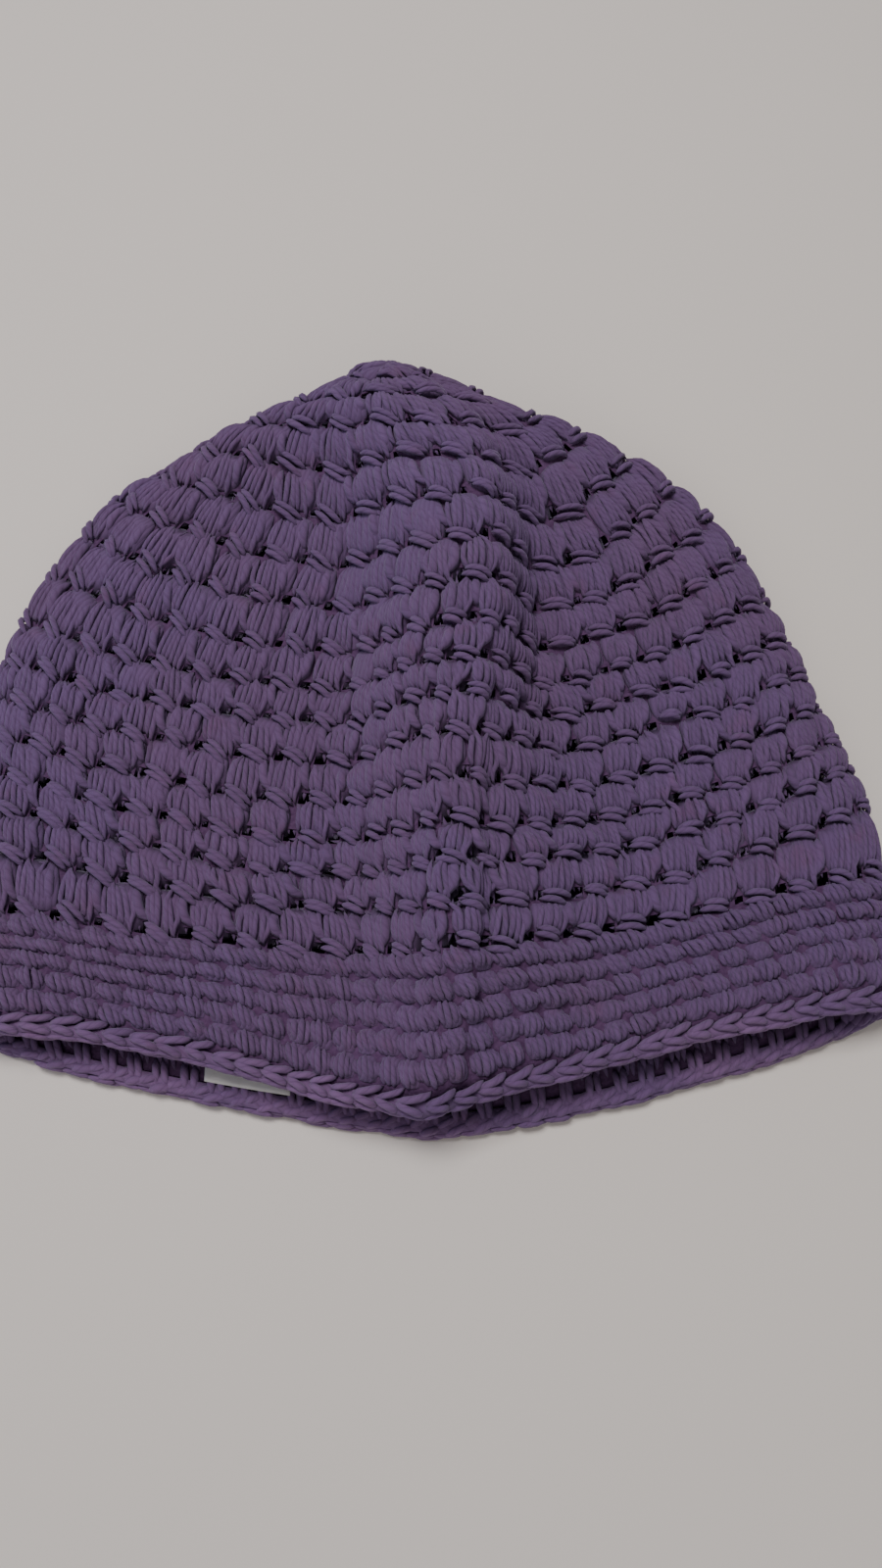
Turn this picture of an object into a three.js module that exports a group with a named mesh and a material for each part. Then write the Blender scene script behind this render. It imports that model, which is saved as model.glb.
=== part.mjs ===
import * as THREE from 'three';

// A crocheted kufi lying on its side on a flat surface, as it was put down.
// The opening looks along -Y, the tip of the crown along +Y, and +Z is up.
// The upper layer of the dome stands up in one long soft fold from the tip to the rim.
// The origin lies under the middle of the whole hat. Lengths are in millimetres.

const HAT_WIDTH = 252;
const HAT_DEPTH = 224;
const FOLD_HEIGHT = 42;
const WALL = 5;

const CROWN_ROUNDS = 16;
const CROWN_ROUND_PITCH = 10.9;
const BAND_ROUNDS = 5;
const BAND_ROUND_PITCH = 7.2;
const EDGING_WIDTH = 6;
const SEAM_GAP = 0.35;

const CROWN_LENGTH = CROWN_ROUNDS * CROWN_ROUND_PITCH;
const BAND_LENGTH = BAND_ROUNDS * BAND_ROUND_PITCH;
const MERIDIAN = CROWN_LENGTH + BAND_LENGTH + EDGING_WIDTH;

// How far a round swells out at its middle and sinks at its joint with the next one.
const ROUND_SWELL = 0.5;
const ROUND_SINK = 0.9;

// The standing fold falls away over these widths to its left and right.
const FOLD_REACH_LEFT = 42;
const FOLD_REACH_RIGHT = 20;
// A narrow roll runs along the fold's crest and ends in a crease this far to either side.
const ROLL_REACH = 7;
// The side folds are rounded over these widths above and below.
const SIDE_ROUND_UPPER = 18;
const SIDE_ROUND_LOWER = 12;

const LABEL_WIDTH = 22.5;
const LABEL_DEPTH = 12;
const LABEL_THICKNESS = 0.9;
const LABEL_CENTRE_X = -46.5;
const LABEL_RIM_DISTANCE = 4.8;

// Steps round one ring: the upper layer and the lower layer.
const UPPER_STEPS = 32;
const LOWER_STEPS = 24;
const RING_STEPS = UPPER_STEPS + LOWER_STEPS;

// One row per section between the tip (share 0) and the rim (share 1).
// X columns are shares of HAT_WIDTH from the middle, Y columns of HAT_DEPTH, Z of FOLD_HEIGHT.
// left, right: the two side folds. crest: the top of the standing fold. under: the lower layer.
const SECTIONS = [
  { share: 0.000, leftX: -0.046, leftY: 0.474, rightX: -0.046, rightY: 0.474, sideZ: 0.738 },
  { share: 0.050, leftX: -0.097, leftY: 0.456, rightX: 0.008, rightY: 0.448, sideZ: 0.702 },
  { share: 0.100, leftX: -0.153, leftY: 0.431, rightX: 0.071, rightY: 0.438, sideZ: 0.619 },
  { share: 0.150, leftX: -0.212, leftY: 0.415, rightX: 0.129, rightY: 0.425, sideZ: 0.524 },
  { share: 0.200, leftX: -0.266, leftY: 0.388, rightX: 0.187, rightY: 0.412, sideZ: 0.429 },
  { share: 0.250, leftX: -0.319, leftY: 0.359, rightX: 0.242, rightY: 0.385, sideZ: 0.333 },
  { share: 0.300, leftX: -0.370, leftY: 0.325, rightX: 0.294, rightY: 0.351, sideZ: 0.262 },
  { share: 0.400, leftX: -0.441, leftY: 0.220, rightX: 0.369, rightY: 0.249, sideZ: 0.214 },
  { share: 0.505, leftX: -0.486, leftY: 0.101, rightX: 0.419, rightY: 0.119, sideZ: 0.190 },
  { share: 0.605, leftX: -0.500, leftY: -0.001, rightX: 0.452, rightY: 0.008, sideZ: 0.190 },
  { share: 0.706, leftX: -0.500, leftY: -0.113, rightX: 0.484, rightY: -0.086, sideZ: 0.190 },
  { share: 0.807, leftX: -0.496, leftY: -0.242, rightX: 0.496, rightY: -0.202, sideZ: 0.190 },
  { share: 0.900, leftX: -0.492, leftY: -0.300, rightX: 0.500, rightY: -0.269, sideZ: 0.190 },
  { share: 1.000, leftX: -0.486, leftY: -0.385, rightX: 0.494, rightY: -0.356, sideZ: 0.190 },
];

const CREST = [
  { share: 0.000, crestX: -0.046, crestY: 0.474, crestZ: 0.738, leftZ: 0.738, rightZ: 0.738 },
  { share: 0.050, crestX: -0.031, crestY: 0.443, crestZ: 0.810, leftZ: 0.786, rightZ: 0.762 },
  { share: 0.100, crestX: -0.008, crestY: 0.410, crestZ: 0.881, leftZ: 0.786, rightZ: 0.762 },
  { share: 0.150, crestX: 0.016, crestY: 0.361, crestZ: 0.940, leftZ: 0.714, rightZ: 0.690 },
  { share: 0.200, crestX: 0.035, crestY: 0.310, crestZ: 0.976, leftZ: 0.619, rightZ: 0.595 },
  { share: 0.250, crestX: 0.048, crestY: 0.253, crestZ: 1.000, leftZ: 0.524, rightZ: 0.500 },
  { share: 0.300, crestX: 0.053, crestY: 0.192, crestZ: 1.000, leftZ: 0.464, rightZ: 0.452 },
  { share: 0.400, crestX: 0.051, crestY: 0.088, crestZ: 0.976, leftZ: 0.405, rightZ: 0.417 },
  { share: 0.505, crestX: 0.040, crestY: -0.001, crestZ: 0.940, leftZ: 0.381, rightZ: 0.405 },
  { share: 0.605, crestX: 0.030, crestY: -0.112, crestZ: 0.890, leftZ: 0.381, rightZ: 0.405 },
  { share: 0.706, crestX: 0.029, crestY: -0.221, crestZ: 0.845, leftZ: 0.393, rightZ: 0.417 },
  { share: 0.807, crestX: 0.028, crestY: -0.306, crestZ: 0.785, leftZ: 0.405, rightZ: 0.429 },
  { share: 0.900, crestX: 0.020, crestY: -0.387, crestZ: 0.680, leftZ: 0.405, rightZ: 0.429 },
  { share: 1.000, crestX: -0.003, crestY: -0.486, crestZ: 0.500, leftZ: 0.405, rightZ: 0.429 },
];

// The standing fold. roll: how high the narrow roll along its crest stands above the fold beside it.
// leftSpread, rightSpread: its reach to either side, as shares of FOLD_REACH_LEFT and FOLD_REACH_RIGHT.
const FOLD = [
  { share: 0.000, roll: 0.000, leftSpread: 1.00, rightSpread: 1.00 },
  { share: 0.150, roll: 0.000, leftSpread: 1.00, rightSpread: 1.00 },
  { share: 0.300, roll: 0.000, leftSpread: 1.00, rightSpread: 1.00 },
  { share: 0.400, roll: 0.020, leftSpread: 0.98, rightSpread: 1.05 },
  { share: 0.505, roll: 0.060, leftSpread: 0.90, rightSpread: 1.30 },
  { share: 0.605, roll: 0.080, leftSpread: 0.80, rightSpread: 1.90 },
  { share: 0.706, roll: 0.090, leftSpread: 0.70, rightSpread: 2.40 },
  { share: 0.807, roll: 0.090, leftSpread: 0.65, rightSpread: 2.50 },
  { share: 0.900, roll: 0.075, leftSpread: 0.68, rightSpread: 2.20 },
  { share: 1.000, roll: 0.030, leftSpread: 0.90, rightSpread: 1.80 },
];

const UNDER = [
  { share: 0.000, underX: -0.046, underY: 0.474, underZ: 0.738 },
  { share: 0.050, underX: -0.032, underY: 0.492, underZ: 0.571 },
  { share: 0.100, underX: -0.016, underY: 0.499, underZ: 0.333 },
  { share: 0.150, underX: -0.004, underY: 0.487, underZ: 0.119 },
  { share: 0.200, underX: 0.004, underY: 0.454, underZ: 0.000 },
  { share: 0.250, underX: 0.016, underY: 0.405, underZ: 0.000 },
  { share: 0.300, underX: 0.016, underY: 0.356, underZ: 0.000 },
  { share: 0.400, underX: 0.016, underY: 0.235, underZ: 0.000 },
  { share: 0.505, underX: 0.016, underY: 0.110, underZ: 0.000 },
  { share: 0.605, underX: 0.016, underY: -0.015, underZ: 0.000 },
  { share: 0.706, underX: 0.016, underY: -0.135, underZ: 0.000 },
  { share: 0.807, underX: 0.016, underY: -0.260, underZ: 0.000 },
  { share: 0.900, underX: 0.016, underY: -0.376, underZ: 0.000 },
  { share: 1.000, underX: 0.016, underY: -0.499, underZ: 0.000 },
];

// How a round bows between its middle and the side folds: (1 - t^power)^root.
// An ellipse has power 2 and root 0.5, a plain V has 1 and 1.
// left, right: the two halves of the upper layer.
const UPPER_BOW = [
  { share: 0.00, leftPower: 2.0, leftRoot: 0.50, rightPower: 2.0, rightRoot: 0.50 },
  { share: 0.15, leftPower: 2.0, leftRoot: 0.52, rightPower: 2.0, rightRoot: 0.52 },
  { share: 0.30, leftPower: 2.2, leftRoot: 0.70, rightPower: 2.2, rightRoot: 0.70 },
  { share: 0.50, leftPower: 2.4, leftRoot: 1.00, rightPower: 2.4, rightRoot: 1.00 },
  { share: 0.70, leftPower: 1.9, leftRoot: 1.05, rightPower: 1.9, rightRoot: 1.10 },
  { share: 0.80, leftPower: 1.6, leftRoot: 1.10, rightPower: 1.4, rightRoot: 1.20 },
  { share: 0.90, leftPower: 1.5, leftRoot: 1.50, rightPower: 1.2, rightRoot: 1.30 },
  { share: 1.00, leftPower: 1.3, leftRoot: 2.30, rightPower: 1.0, rightRoot: 1.40 },
];

const LOWER_BOW = [
  { share: 0.00, lowerPower: 2.0, lowerRoot: 0.50 },
  { share: 0.15, lowerPower: 2.0, lowerRoot: 0.50 },
  { share: 0.30, lowerPower: 2.0, lowerRoot: 0.60 },
  { share: 0.50, lowerPower: 2.0, lowerRoot: 0.80 },
  { share: 0.70, lowerPower: 1.7, lowerRoot: 0.80 },
  { share: 0.80, lowerPower: 1.5, lowerRoot: 0.80 },
  { share: 0.90, lowerPower: 1.4, lowerRoot: 0.82 },
  { share: 1.00, lowerPower: 1.3, lowerRoot: 0.85 },
];

// Cross-section of the rim edging. along is a share of EDGING_WIDTH, out is a share of WALL.
const EDGING_SECTION = [
  { along: 0.00, out: 0.00 },
  { along: 0.30, out: 0.16 },
  { along: 0.75, out: 0.12 },
  { along: 1.00, out: -0.25 },
  { along: 1.00, out: -0.75 },
  { along: 0.75, out: -1.04 },
  { along: 0.30, out: -1.04 },
  { along: 0.00, out: -1.00 },
];

// A smooth curve through the named columns of a table, read at one share.
function readTable(table, columns, share) {
  const s = Math.min(Math.max(share, 0), 1);
  let i = 0;
  while (i < table.length - 2 && s > table[i + 1].share) {
    i += 1;
  }
  const step = table[i + 1].share - table[i].share;
  const t = (s - table[i].share) / step;
  const slope = (k, name) => {
    const before = Math.max(k - 1, 0);
    const after = Math.min(k + 1, table.length - 1);
    return (table[after][name] - table[before][name]) / (table[after].share - table[before].share);
  };
  const values = {};
  for (const name of columns) {
    const h00 = 2 * t ** 3 - 3 * t ** 2 + 1;
    const h10 = t ** 3 - 2 * t ** 2 + t;
    const h01 = -2 * t ** 3 + 3 * t ** 2;
    const h11 = t ** 3 - t ** 2;
    values[name] = h00 * table[i][name] + h10 * step * slope(i, name)
      + h01 * table[i + 1][name] + h11 * step * slope(i + 1, name);
  }
  return values;
}

function section(share) {
  const side = readTable(SECTIONS, ['leftX', 'leftY', 'rightX', 'rightY', 'sideZ'], share);
  const crest = readTable(CREST, ['crestX', 'crestY', 'crestZ', 'leftZ', 'rightZ'], share);
  const fold = readTable(FOLD, ['roll', 'leftSpread', 'rightSpread'], share);
  const under = readTable(UNDER, ['underX', 'underY', 'underZ'], share);
  const upper = readTable(UPPER_BOW, ['leftPower', 'leftRoot', 'rightPower', 'rightRoot'], share);
  const lower = readTable(LOWER_BOW, ['lowerPower', 'lowerRoot'], share);
  return { ...side, ...crest, ...fold, ...under, ...upper, ...lower };
}

// 1 over most of a layer, falling as a quarter ellipse to 0 at its side fold.
function sideRound(t, reach, half) {
  const start = Math.max(0, 1 - reach / Math.max(half, 1e-6));
  if (t <= start) {
    return 1;
  }
  return Math.sqrt(Math.max(0, 1 - ((t - start) / (1 - start)) ** 2));
}

// A point of the upper layer's outer face. side runs from -1 (left fold) over 0 (crest) to 1.
function upperPoint(sec, side) {
  const a = Math.abs(side);
  const t = a - 0.11 * Math.sin(2 * Math.PI * a);
  const left = side < 0;
  const edgeX = HAT_WIDTH * (left ? sec.leftX : sec.rightX);
  const edgeY = HAT_DEPTH * (left ? sec.leftY : sec.rightY);
  const edgeZ = FOLD_HEIGHT * sec.sideZ;
  const midX = HAT_WIDTH * sec.crestX;
  const midY = HAT_DEPTH * sec.crestY;
  const half = Math.abs(edgeX - midX);
  const spread = left ? FOLD_REACH_LEFT * sec.leftSpread : FOLD_REACH_RIGHT * sec.rightSpread;
  const reach = Math.min(spread, 0.9 * half + 1e-6);
  const fall = Math.min((half * t) / reach, 1);
  const panelZ = FOLD_HEIGHT * (left ? sec.leftZ : sec.rightZ);
  const lift = 0.5 * (1 + Math.cos(Math.PI * fall ** 1.4));
  const rollZ = FOLD_HEIGHT * sec.roll;
  const slack = Math.min(Math.max(((half * t) / ROLL_REACH - 0.75) / 0.45, 0), 1);
  const crease = 0.5 * (1 + Math.cos(Math.PI * slack));
  const topZ = panelZ + (FOLD_HEIGHT * sec.crestZ - rollZ - panelZ) * lift + rollZ * crease;
  const power = left ? sec.leftPower : sec.rightPower;
  const root = left ? sec.leftRoot : sec.rightRoot;
  const bow = Math.max(0, 1 - t ** power) ** root;
  return new THREE.Vector3(
    midX + (edgeX - midX) * t,
    edgeY + (midY - edgeY) * bow,
    edgeZ + (topZ - edgeZ) * sideRound(t, SIDE_ROUND_UPPER, half),
  );
}

// A point of the lower layer's outer face, which lies flat on the surface below it.
function lowerPoint(sec, side) {
  const t = Math.sin((Math.PI / 2) * Math.abs(side));
  const left = side < 0;
  const edgeX = HAT_WIDTH * (left ? sec.leftX : sec.rightX);
  const edgeY = HAT_DEPTH * (left ? sec.leftY : sec.rightY);
  const edgeZ = FOLD_HEIGHT * sec.sideZ;
  const midX = HAT_WIDTH * sec.underX;
  const midY = HAT_DEPTH * sec.underY;
  const floorZ = Math.max(0, FOLD_HEIGHT * sec.underZ);
  const half = Math.abs(edgeX - midX);
  const round = sideRound(t, SIDE_ROUND_LOWER, half);
  const bow = Math.max(0, 1 - t ** sec.lowerPower) ** sec.lowerRoot;
  return new THREE.Vector3(
    midX + (edgeX - midX) * t,
    edgeY + (midY - edgeY) * bow,
    edgeZ + (floorZ - edgeZ) * round,
  );
}

// One closed ring of outer points at a distance along the hat from its tip.
// free is 1 where the wall is free to swell and 0 where it lies on the surface.
function ringAt(distance) {
  const sec = section(distance / MERIDIAN);
  const ring = [];
  for (let i = 0; i <= UPPER_STEPS; i += 1) {
    ring.push({ point: upperPoint(sec, -1 + (2 * i) / UPPER_STEPS), free: 1 });
  }
  for (let i = 1; i < LOWER_STEPS; i += 1) {
    const point = lowerPoint(sec, 1 - (2 * i) / LOWER_STEPS);
    const free = Math.min(1, Math.max(0, point.z - 1) / 6);
    ring.push({ point, free });
  }
  return ring;
}

// Outward directions of a ring, from its neighbours along the hat and round it, evened out.
function ringNormals(distance) {
  const step = 4;
  const before = ringAt(Math.max(distance - step, 0.5));
  const after = ringAt(Math.min(distance + step, MERIDIAN));
  const here = ringAt(distance);
  let normals = here.map((_, i) => {
    const next = here[(i + 1) % RING_STEPS].point;
    const last = here[(i + RING_STEPS - 1) % RING_STEPS].point;
    const round = next.clone().sub(last);
    const along = after[i].point.clone().sub(before[i].point);
    return along.cross(round).normalize();
  });
  for (let pass = 0; pass < 3; pass += 1) {
    normals = normals.map((normal, i) => {
      const next = normals[(i + 1) % RING_STEPS];
      const last = normals[(i + RING_STEPS - 1) % RING_STEPS];
      return normal.clone().multiplyScalar(2).add(next).add(last).normalize();
    });
  }
  return normals;
}

// A ring moved out of the plain outer face by out millimetres; inwards where out is negative.
// Two walls that meet at a seam share the directions of the seam, so that their ends are parallel.
function shiftedRing(distance, out, directionsAt = distance) {
  const normals = ringNormals(directionsAt);
  return ringAt(distance).map(({ point, free }, i) => {
    const shift = out > 0 || out > -WALL / 2 ? out * free : out;
    return point.clone().addScaledVector(normals[i], shift);
  });
}

// Joins rings, each to the next, into a grid of triangles.
class Skin {
  constructor() {
    this.positions = [];
    this.triangles = [];
  }

  addRing(points) {
    const first = this.positions.length / 3;
    for (const point of points) {
      this.positions.push(point.x, point.y, point.z);
    }
    return { first, count: points.length };
  }

  addPoint(point) {
    this.positions.push(point.x, point.y, point.z);
    return this.positions.length / 3 - 1;
  }

  // Each four-sided face is split the one way or the other, so that facing ends can match.
  join(ringA, ringB, otherSplit = false) {
    for (let i = 0; i < ringA.count; i += 1) {
      const j = (i + 1) % ringA.count;
      const a = ringA.first + i;
      const b = ringA.first + j;
      const c = ringB.first + j;
      const d = ringB.first + i;
      if (otherSplit) {
        this.triangles.push(a, d, c, a, c, b);
      } else {
        this.triangles.push(a, d, b, b, d, c);
      }
    }
  }

  joinLoop(rings) {
    for (let i = 1; i < rings.length; i += 1) {
      this.join(rings[i - 1], rings[i]);
    }
    this.join(rings[rings.length - 1], rings[0], true);
  }

  cap(pole, ring, facing) {
    for (let i = 0; i < ring.count; i += 1) {
      const a = ring.first + i;
      const b = ring.first + ((i + 1) % ring.count);
      if (facing) {
        this.triangles.push(pole, a, b);
      } else {
        this.triangles.push(pole, b, a);
      }
    }
  }

  geometry() {
    const geometry = new THREE.BufferGeometry();
    geometry.setAttribute('position', new THREE.Float32BufferAttribute(this.positions, 3));
    geometry.setIndex(this.triangles);
    geometry.computeVertexNormals();
    return geometry;
  }
}

// The tip of the dome and the tip of its hollow.
function tipPoint(out) {
  const tip = upperPoint(section(0), 0);
  const back = lowerPoint(section(0.05), 0);
  const front = upperPoint(section(0.05), 0);
  const normal = front.clone().add(back).multiplyScalar(-0.5).add(tip);
  normal.y += 4;
  normal.z += 6;
  return tip.addScaledVector(normal.normalize(), out);
}

// The rounds of a wall: each sinks at its joints and swells at its middle.
function roundStations(start, count, pitch) {
  const stations = [];
  for (let i = 0; i < count; i += 1) {
    stations.push({ distance: start + (i + 0.5) * pitch, out: ROUND_SWELL });
    stations.push({ distance: start + (i + 1) * pitch, out: -ROUND_SINK });
  }
  return stations;
}

function crownGeometry() {
  const skin = new Skin();
  const outer = roundStations(0, CROWN_ROUNDS, CROWN_ROUND_PITCH)
    .map(({ distance, out }) => skin.addRing(shiftedRing(distance, out)));
  const inner = [];
  for (let i = 1; i <= CROWN_ROUNDS; i += 1) {
    inner.push(skin.addRing(shiftedRing(i * CROWN_ROUND_PITCH, -WALL)));
  }
  skin.cap(skin.addPoint(tipPoint(0)), outer[0], true);
  for (let i = 1; i < outer.length; i += 1) {
    skin.join(outer[i - 1], outer[i]);
  }
  skin.join(outer[outer.length - 1], inner[inner.length - 1]);
  for (let i = inner.length - 1; i > 0; i -= 1) {
    skin.join(inner[i], inner[i - 1]);
  }
  skin.cap(skin.addPoint(tipPoint(-WALL)), inner[0], false);
  return skin.geometry();
}

function bandGeometry() {
  const skin = new Skin();
  const start = CROWN_LENGTH + SEAM_GAP;
  const pitch = (BAND_LENGTH - SEAM_GAP) / BAND_ROUNDS;
  const outer = [skin.addRing(shiftedRing(start, -ROUND_SINK, CROWN_LENGTH))];
  for (const { distance, out } of roundStations(start, BAND_ROUNDS, pitch)) {
    outer.push(skin.addRing(shiftedRing(distance, out)));
  }
  const inner = [skin.addRing(shiftedRing(start, -WALL, CROWN_LENGTH))];
  for (let i = 1; i <= BAND_ROUNDS; i += 1) {
    inner.push(skin.addRing(shiftedRing(start + i * pitch, -WALL)));
  }
  skin.joinLoop([...outer, ...inner.reverse()]);
  return skin.geometry();
}

function edgingGeometry() {
  const skin = new Skin();
  const seam = CROWN_LENGTH + BAND_LENGTH;
  const width = EDGING_WIDTH - SEAM_GAP;
  const loop = EDGING_SECTION.map(({ along, out }) => {
    const distance = seam + SEAM_GAP + width * along;
    return skin.addRing(shiftedRing(distance, out * WALL, seam));
  });
  skin.joinLoop(loop);
  return skin.geometry();
}

// A point above the lower layer's inner face, found by its X.
function liningPoint(distance, x, above) {
  const sec = section(distance / MERIDIAN);
  const midX = HAT_WIDTH * sec.underX;
  const edgeX = HAT_WIDTH * (x < midX ? sec.leftX : sec.rightX);
  const t = Math.min(0.999, (x - midX) / (edgeX - midX));
  const side = (Math.asin(t) * 2) / Math.PI;
  const point = lowerPoint(sec, x < midX ? -side : side);
  point.z += WALL + above;
  return point;
}

function labelGeometry() {
  const skin = new Skin();
  const steps = 6;
  const front = MERIDIAN - LABEL_RIM_DISTANCE;
  const left = LABEL_CENTRE_X - LABEL_WIDTH / 2;
  const loop = [];
  for (let i = 0; i <= steps; i += 1) {
    const x = left + (LABEL_WIDTH * i) / steps;
    loop.push(skin.addRing([
      liningPoint(front, x, SEAM_GAP),
      liningPoint(front, x, SEAM_GAP + LABEL_THICKNESS),
      liningPoint(front - LABEL_DEPTH, x, SEAM_GAP + LABEL_THICKNESS),
      liningPoint(front - LABEL_DEPTH, x, SEAM_GAP),
    ]));
  }
  for (let i = 0; i < steps; i += 1) {
    skin.join(loop[i], loop[i + 1]);
  }
  const first = loop[0].first;
  const last = loop[steps].first;
  skin.triangles.push(first, first + 1, first + 2, first, first + 2, first + 3);
  skin.triangles.push(last, last + 2, last + 1, last, last + 3, last + 2);
  return skin.geometry();
}

function wool(colour) {
  return new THREE.MeshStandardMaterial({ color: colour, roughness: 0.95, metalness: 0 });
}

const kufi = new THREE.Group();

const crown = new THREE.Mesh(crownGeometry(), wool(0x6f5c86));
crown.name = 'crown';
kufi.add(crown);

const band = new THREE.Mesh(bandGeometry(), wool(0x6d5b85));
band.name = 'band';
kufi.add(band);

const edging = new THREE.Mesh(edgingGeometry(), wool(0x6b5a80));
edging.name = 'rim_edging';
kufi.add(edging);

const label = new THREE.Mesh(
  labelGeometry(),
  new THREE.MeshStandardMaterial({ color: 0xdad8d4, roughness: 0.7, metalness: 0 }),
);
label.name = 'label';
kufi.add(label);

// The origin goes under the middle of the finished hat.
const box = new THREE.Box3().setFromObject(kufi);
kufi.position.set(-(box.min.x + box.max.x) / 2, -(box.min.y + box.max.y) / 2, -box.min.z);

export default kufi;
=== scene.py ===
"""Looks of a crocheted kufi that lies on its side on a pale table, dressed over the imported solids.

Every piece is made from one shared surface: the hat's outer face, read by the distance from its
tip, the share of the way round a ring, and the height above the face. Stitches are short strands
of yarn over soft bodies, all laid out on that surface, and a Geometry Nodes tree turns the strands
into yarn. Sizes of the hat and its stitches are in millimetres, and every mesh is in metres.
"""

import logging
import math
from dataclasses import dataclass, field
from enum import Enum
from typing import ClassVar

import bpy
import numpy as np
from mathutils import Euler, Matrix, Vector


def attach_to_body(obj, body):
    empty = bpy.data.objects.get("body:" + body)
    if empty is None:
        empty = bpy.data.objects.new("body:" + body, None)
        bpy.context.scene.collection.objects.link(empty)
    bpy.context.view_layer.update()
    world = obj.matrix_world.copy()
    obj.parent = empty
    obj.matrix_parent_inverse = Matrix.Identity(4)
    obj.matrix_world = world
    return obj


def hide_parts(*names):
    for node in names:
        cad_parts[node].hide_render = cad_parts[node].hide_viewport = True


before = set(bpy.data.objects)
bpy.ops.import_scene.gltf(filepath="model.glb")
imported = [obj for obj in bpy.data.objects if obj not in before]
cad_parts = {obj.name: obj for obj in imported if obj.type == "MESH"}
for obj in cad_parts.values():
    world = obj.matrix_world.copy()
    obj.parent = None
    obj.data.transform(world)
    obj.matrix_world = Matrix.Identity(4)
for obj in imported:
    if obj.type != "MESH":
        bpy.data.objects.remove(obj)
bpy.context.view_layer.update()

LOG = logging.getLogger("kufi")
MM = 0.001
SEED = 16
# Distances from the tip, in millimetres: the innermost yarn, and the end of the band's ground.
TIP_START = 0.7
BAND_END = 211.6

# The hat's surface

# Side folds of each ring: leftX, leftY, rightX, rightY, sideZ, after the share of the way from the tip.
SECTIONS = (
    (0.000, -0.046, 0.474, -0.046, 0.474, 0.738),
    (0.050, -0.097, 0.456, 0.008, 0.448, 0.702),
    (0.100, -0.153, 0.431, 0.071, 0.438, 0.619),
    (0.150, -0.212, 0.415, 0.129, 0.425, 0.524),
    (0.200, -0.266, 0.388, 0.187, 0.412, 0.429),
    (0.250, -0.319, 0.359, 0.242, 0.385, 0.333),
    (0.300, -0.370, 0.325, 0.294, 0.351, 0.262),
    (0.400, -0.441, 0.220, 0.369, 0.249, 0.214),
    (0.505, -0.486, 0.101, 0.419, 0.119, 0.190),
    (0.605, -0.500, -0.001, 0.452, 0.008, 0.190),
    (0.706, -0.500, -0.113, 0.484, -0.086, 0.190),
    (0.807, -0.496, -0.242, 0.496, -0.202, 0.190),
    (0.900, -0.492, -0.300, 0.500, -0.269, 0.190),
    (1.000, -0.486, -0.385, 0.494, -0.356, 0.190),
)
# The standing fold and the panels beside it: crestX, crestY, crestZ, leftZ, rightZ.
CREST = (
    (0.000, -0.046, 0.474, 0.738, 0.738, 0.738),
    (0.050, -0.031, 0.443, 0.810, 0.786, 0.762),
    (0.100, -0.008, 0.410, 0.881, 0.786, 0.762),
    (0.150, 0.016, 0.361, 0.940, 0.714, 0.690),
    (0.200, 0.035, 0.310, 0.976, 0.619, 0.595),
    (0.250, 0.048, 0.253, 1.000, 0.524, 0.500),
    (0.300, 0.053, 0.192, 1.000, 0.464, 0.452),
    (0.400, 0.051, 0.088, 0.976, 0.405, 0.417),
    (0.505, 0.040, -0.001, 0.940, 0.381, 0.405),
    (0.605, 0.030, -0.112, 0.890, 0.381, 0.405),
    (0.706, 0.029, -0.221, 0.845, 0.393, 0.417),
    (0.807, 0.028, -0.306, 0.785, 0.405, 0.429),
    (0.900, 0.020, -0.387, 0.680, 0.405, 0.429),
    (1.000, -0.003, -0.486, 0.500, 0.405, 0.429),
)
# The roll along the crest and the fold's spread: roll, leftSpread, rightSpread.
FOLD = (
    (0.000, 0.000, 1.00, 1.00),
    (0.150, 0.000, 1.00, 1.00),
    (0.300, 0.000, 1.00, 1.00),
    (0.400, 0.020, 0.98, 1.05),
    (0.505, 0.060, 0.90, 1.30),
    (0.605, 0.080, 0.80, 1.90),
    (0.706, 0.090, 0.70, 2.40),
    (0.807, 0.090, 0.65, 2.50),
    (0.900, 0.075, 0.68, 2.20),
    (1.000, 0.030, 0.90, 1.80),
)
# Middle line of the lower layer: underX, underY, underZ.
UNDER = (
    (0.000, -0.046, 0.474, 0.738),
    (0.050, -0.032, 0.492, 0.571),
    (0.100, -0.016, 0.499, 0.333),
    (0.150, -0.004, 0.487, 0.119),
    (0.200, 0.004, 0.454, 0.000),
    (0.250, 0.016, 0.405, 0.000),
    (0.300, 0.016, 0.356, 0.000),
    (0.400, 0.016, 0.235, 0.000),
    (0.505, 0.016, 0.110, 0.000),
    (0.605, 0.016, -0.015, 0.000),
    (0.706, 0.016, -0.135, 0.000),
    (0.807, 0.016, -0.260, 0.000),
    (0.900, 0.016, -0.376, 0.000),
    (1.000, 0.016, -0.499, 0.000),
)
# Bow of a ring between its middle and its side folds, as power and root: left, right, lower layer.
BOW = (
    (0.00, 2.0, 0.50, 2.0, 0.50, 2.0, 0.50),
    (0.15, 2.0, 0.52, 2.0, 0.52, 2.0, 0.50),
    (0.30, 2.2, 0.70, 2.2, 0.70, 2.0, 0.60),
    (0.50, 2.4, 1.00, 2.4, 1.00, 2.0, 0.80),
    (0.70, 1.9, 1.05, 1.9, 1.10, 1.7, 0.80),
    (0.80, 1.6, 1.10, 1.4, 1.20, 1.5, 0.80),
    (0.90, 1.5, 1.50, 1.2, 1.30, 1.4, 0.82),
    (1.00, 1.3, 2.30, 1.0, 1.40, 1.3, 0.85),
)
SHAPE = {"side": SECTIONS, "crest": CREST, "fold": FOLD, "under": UNDER, "bow": BOW}


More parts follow.
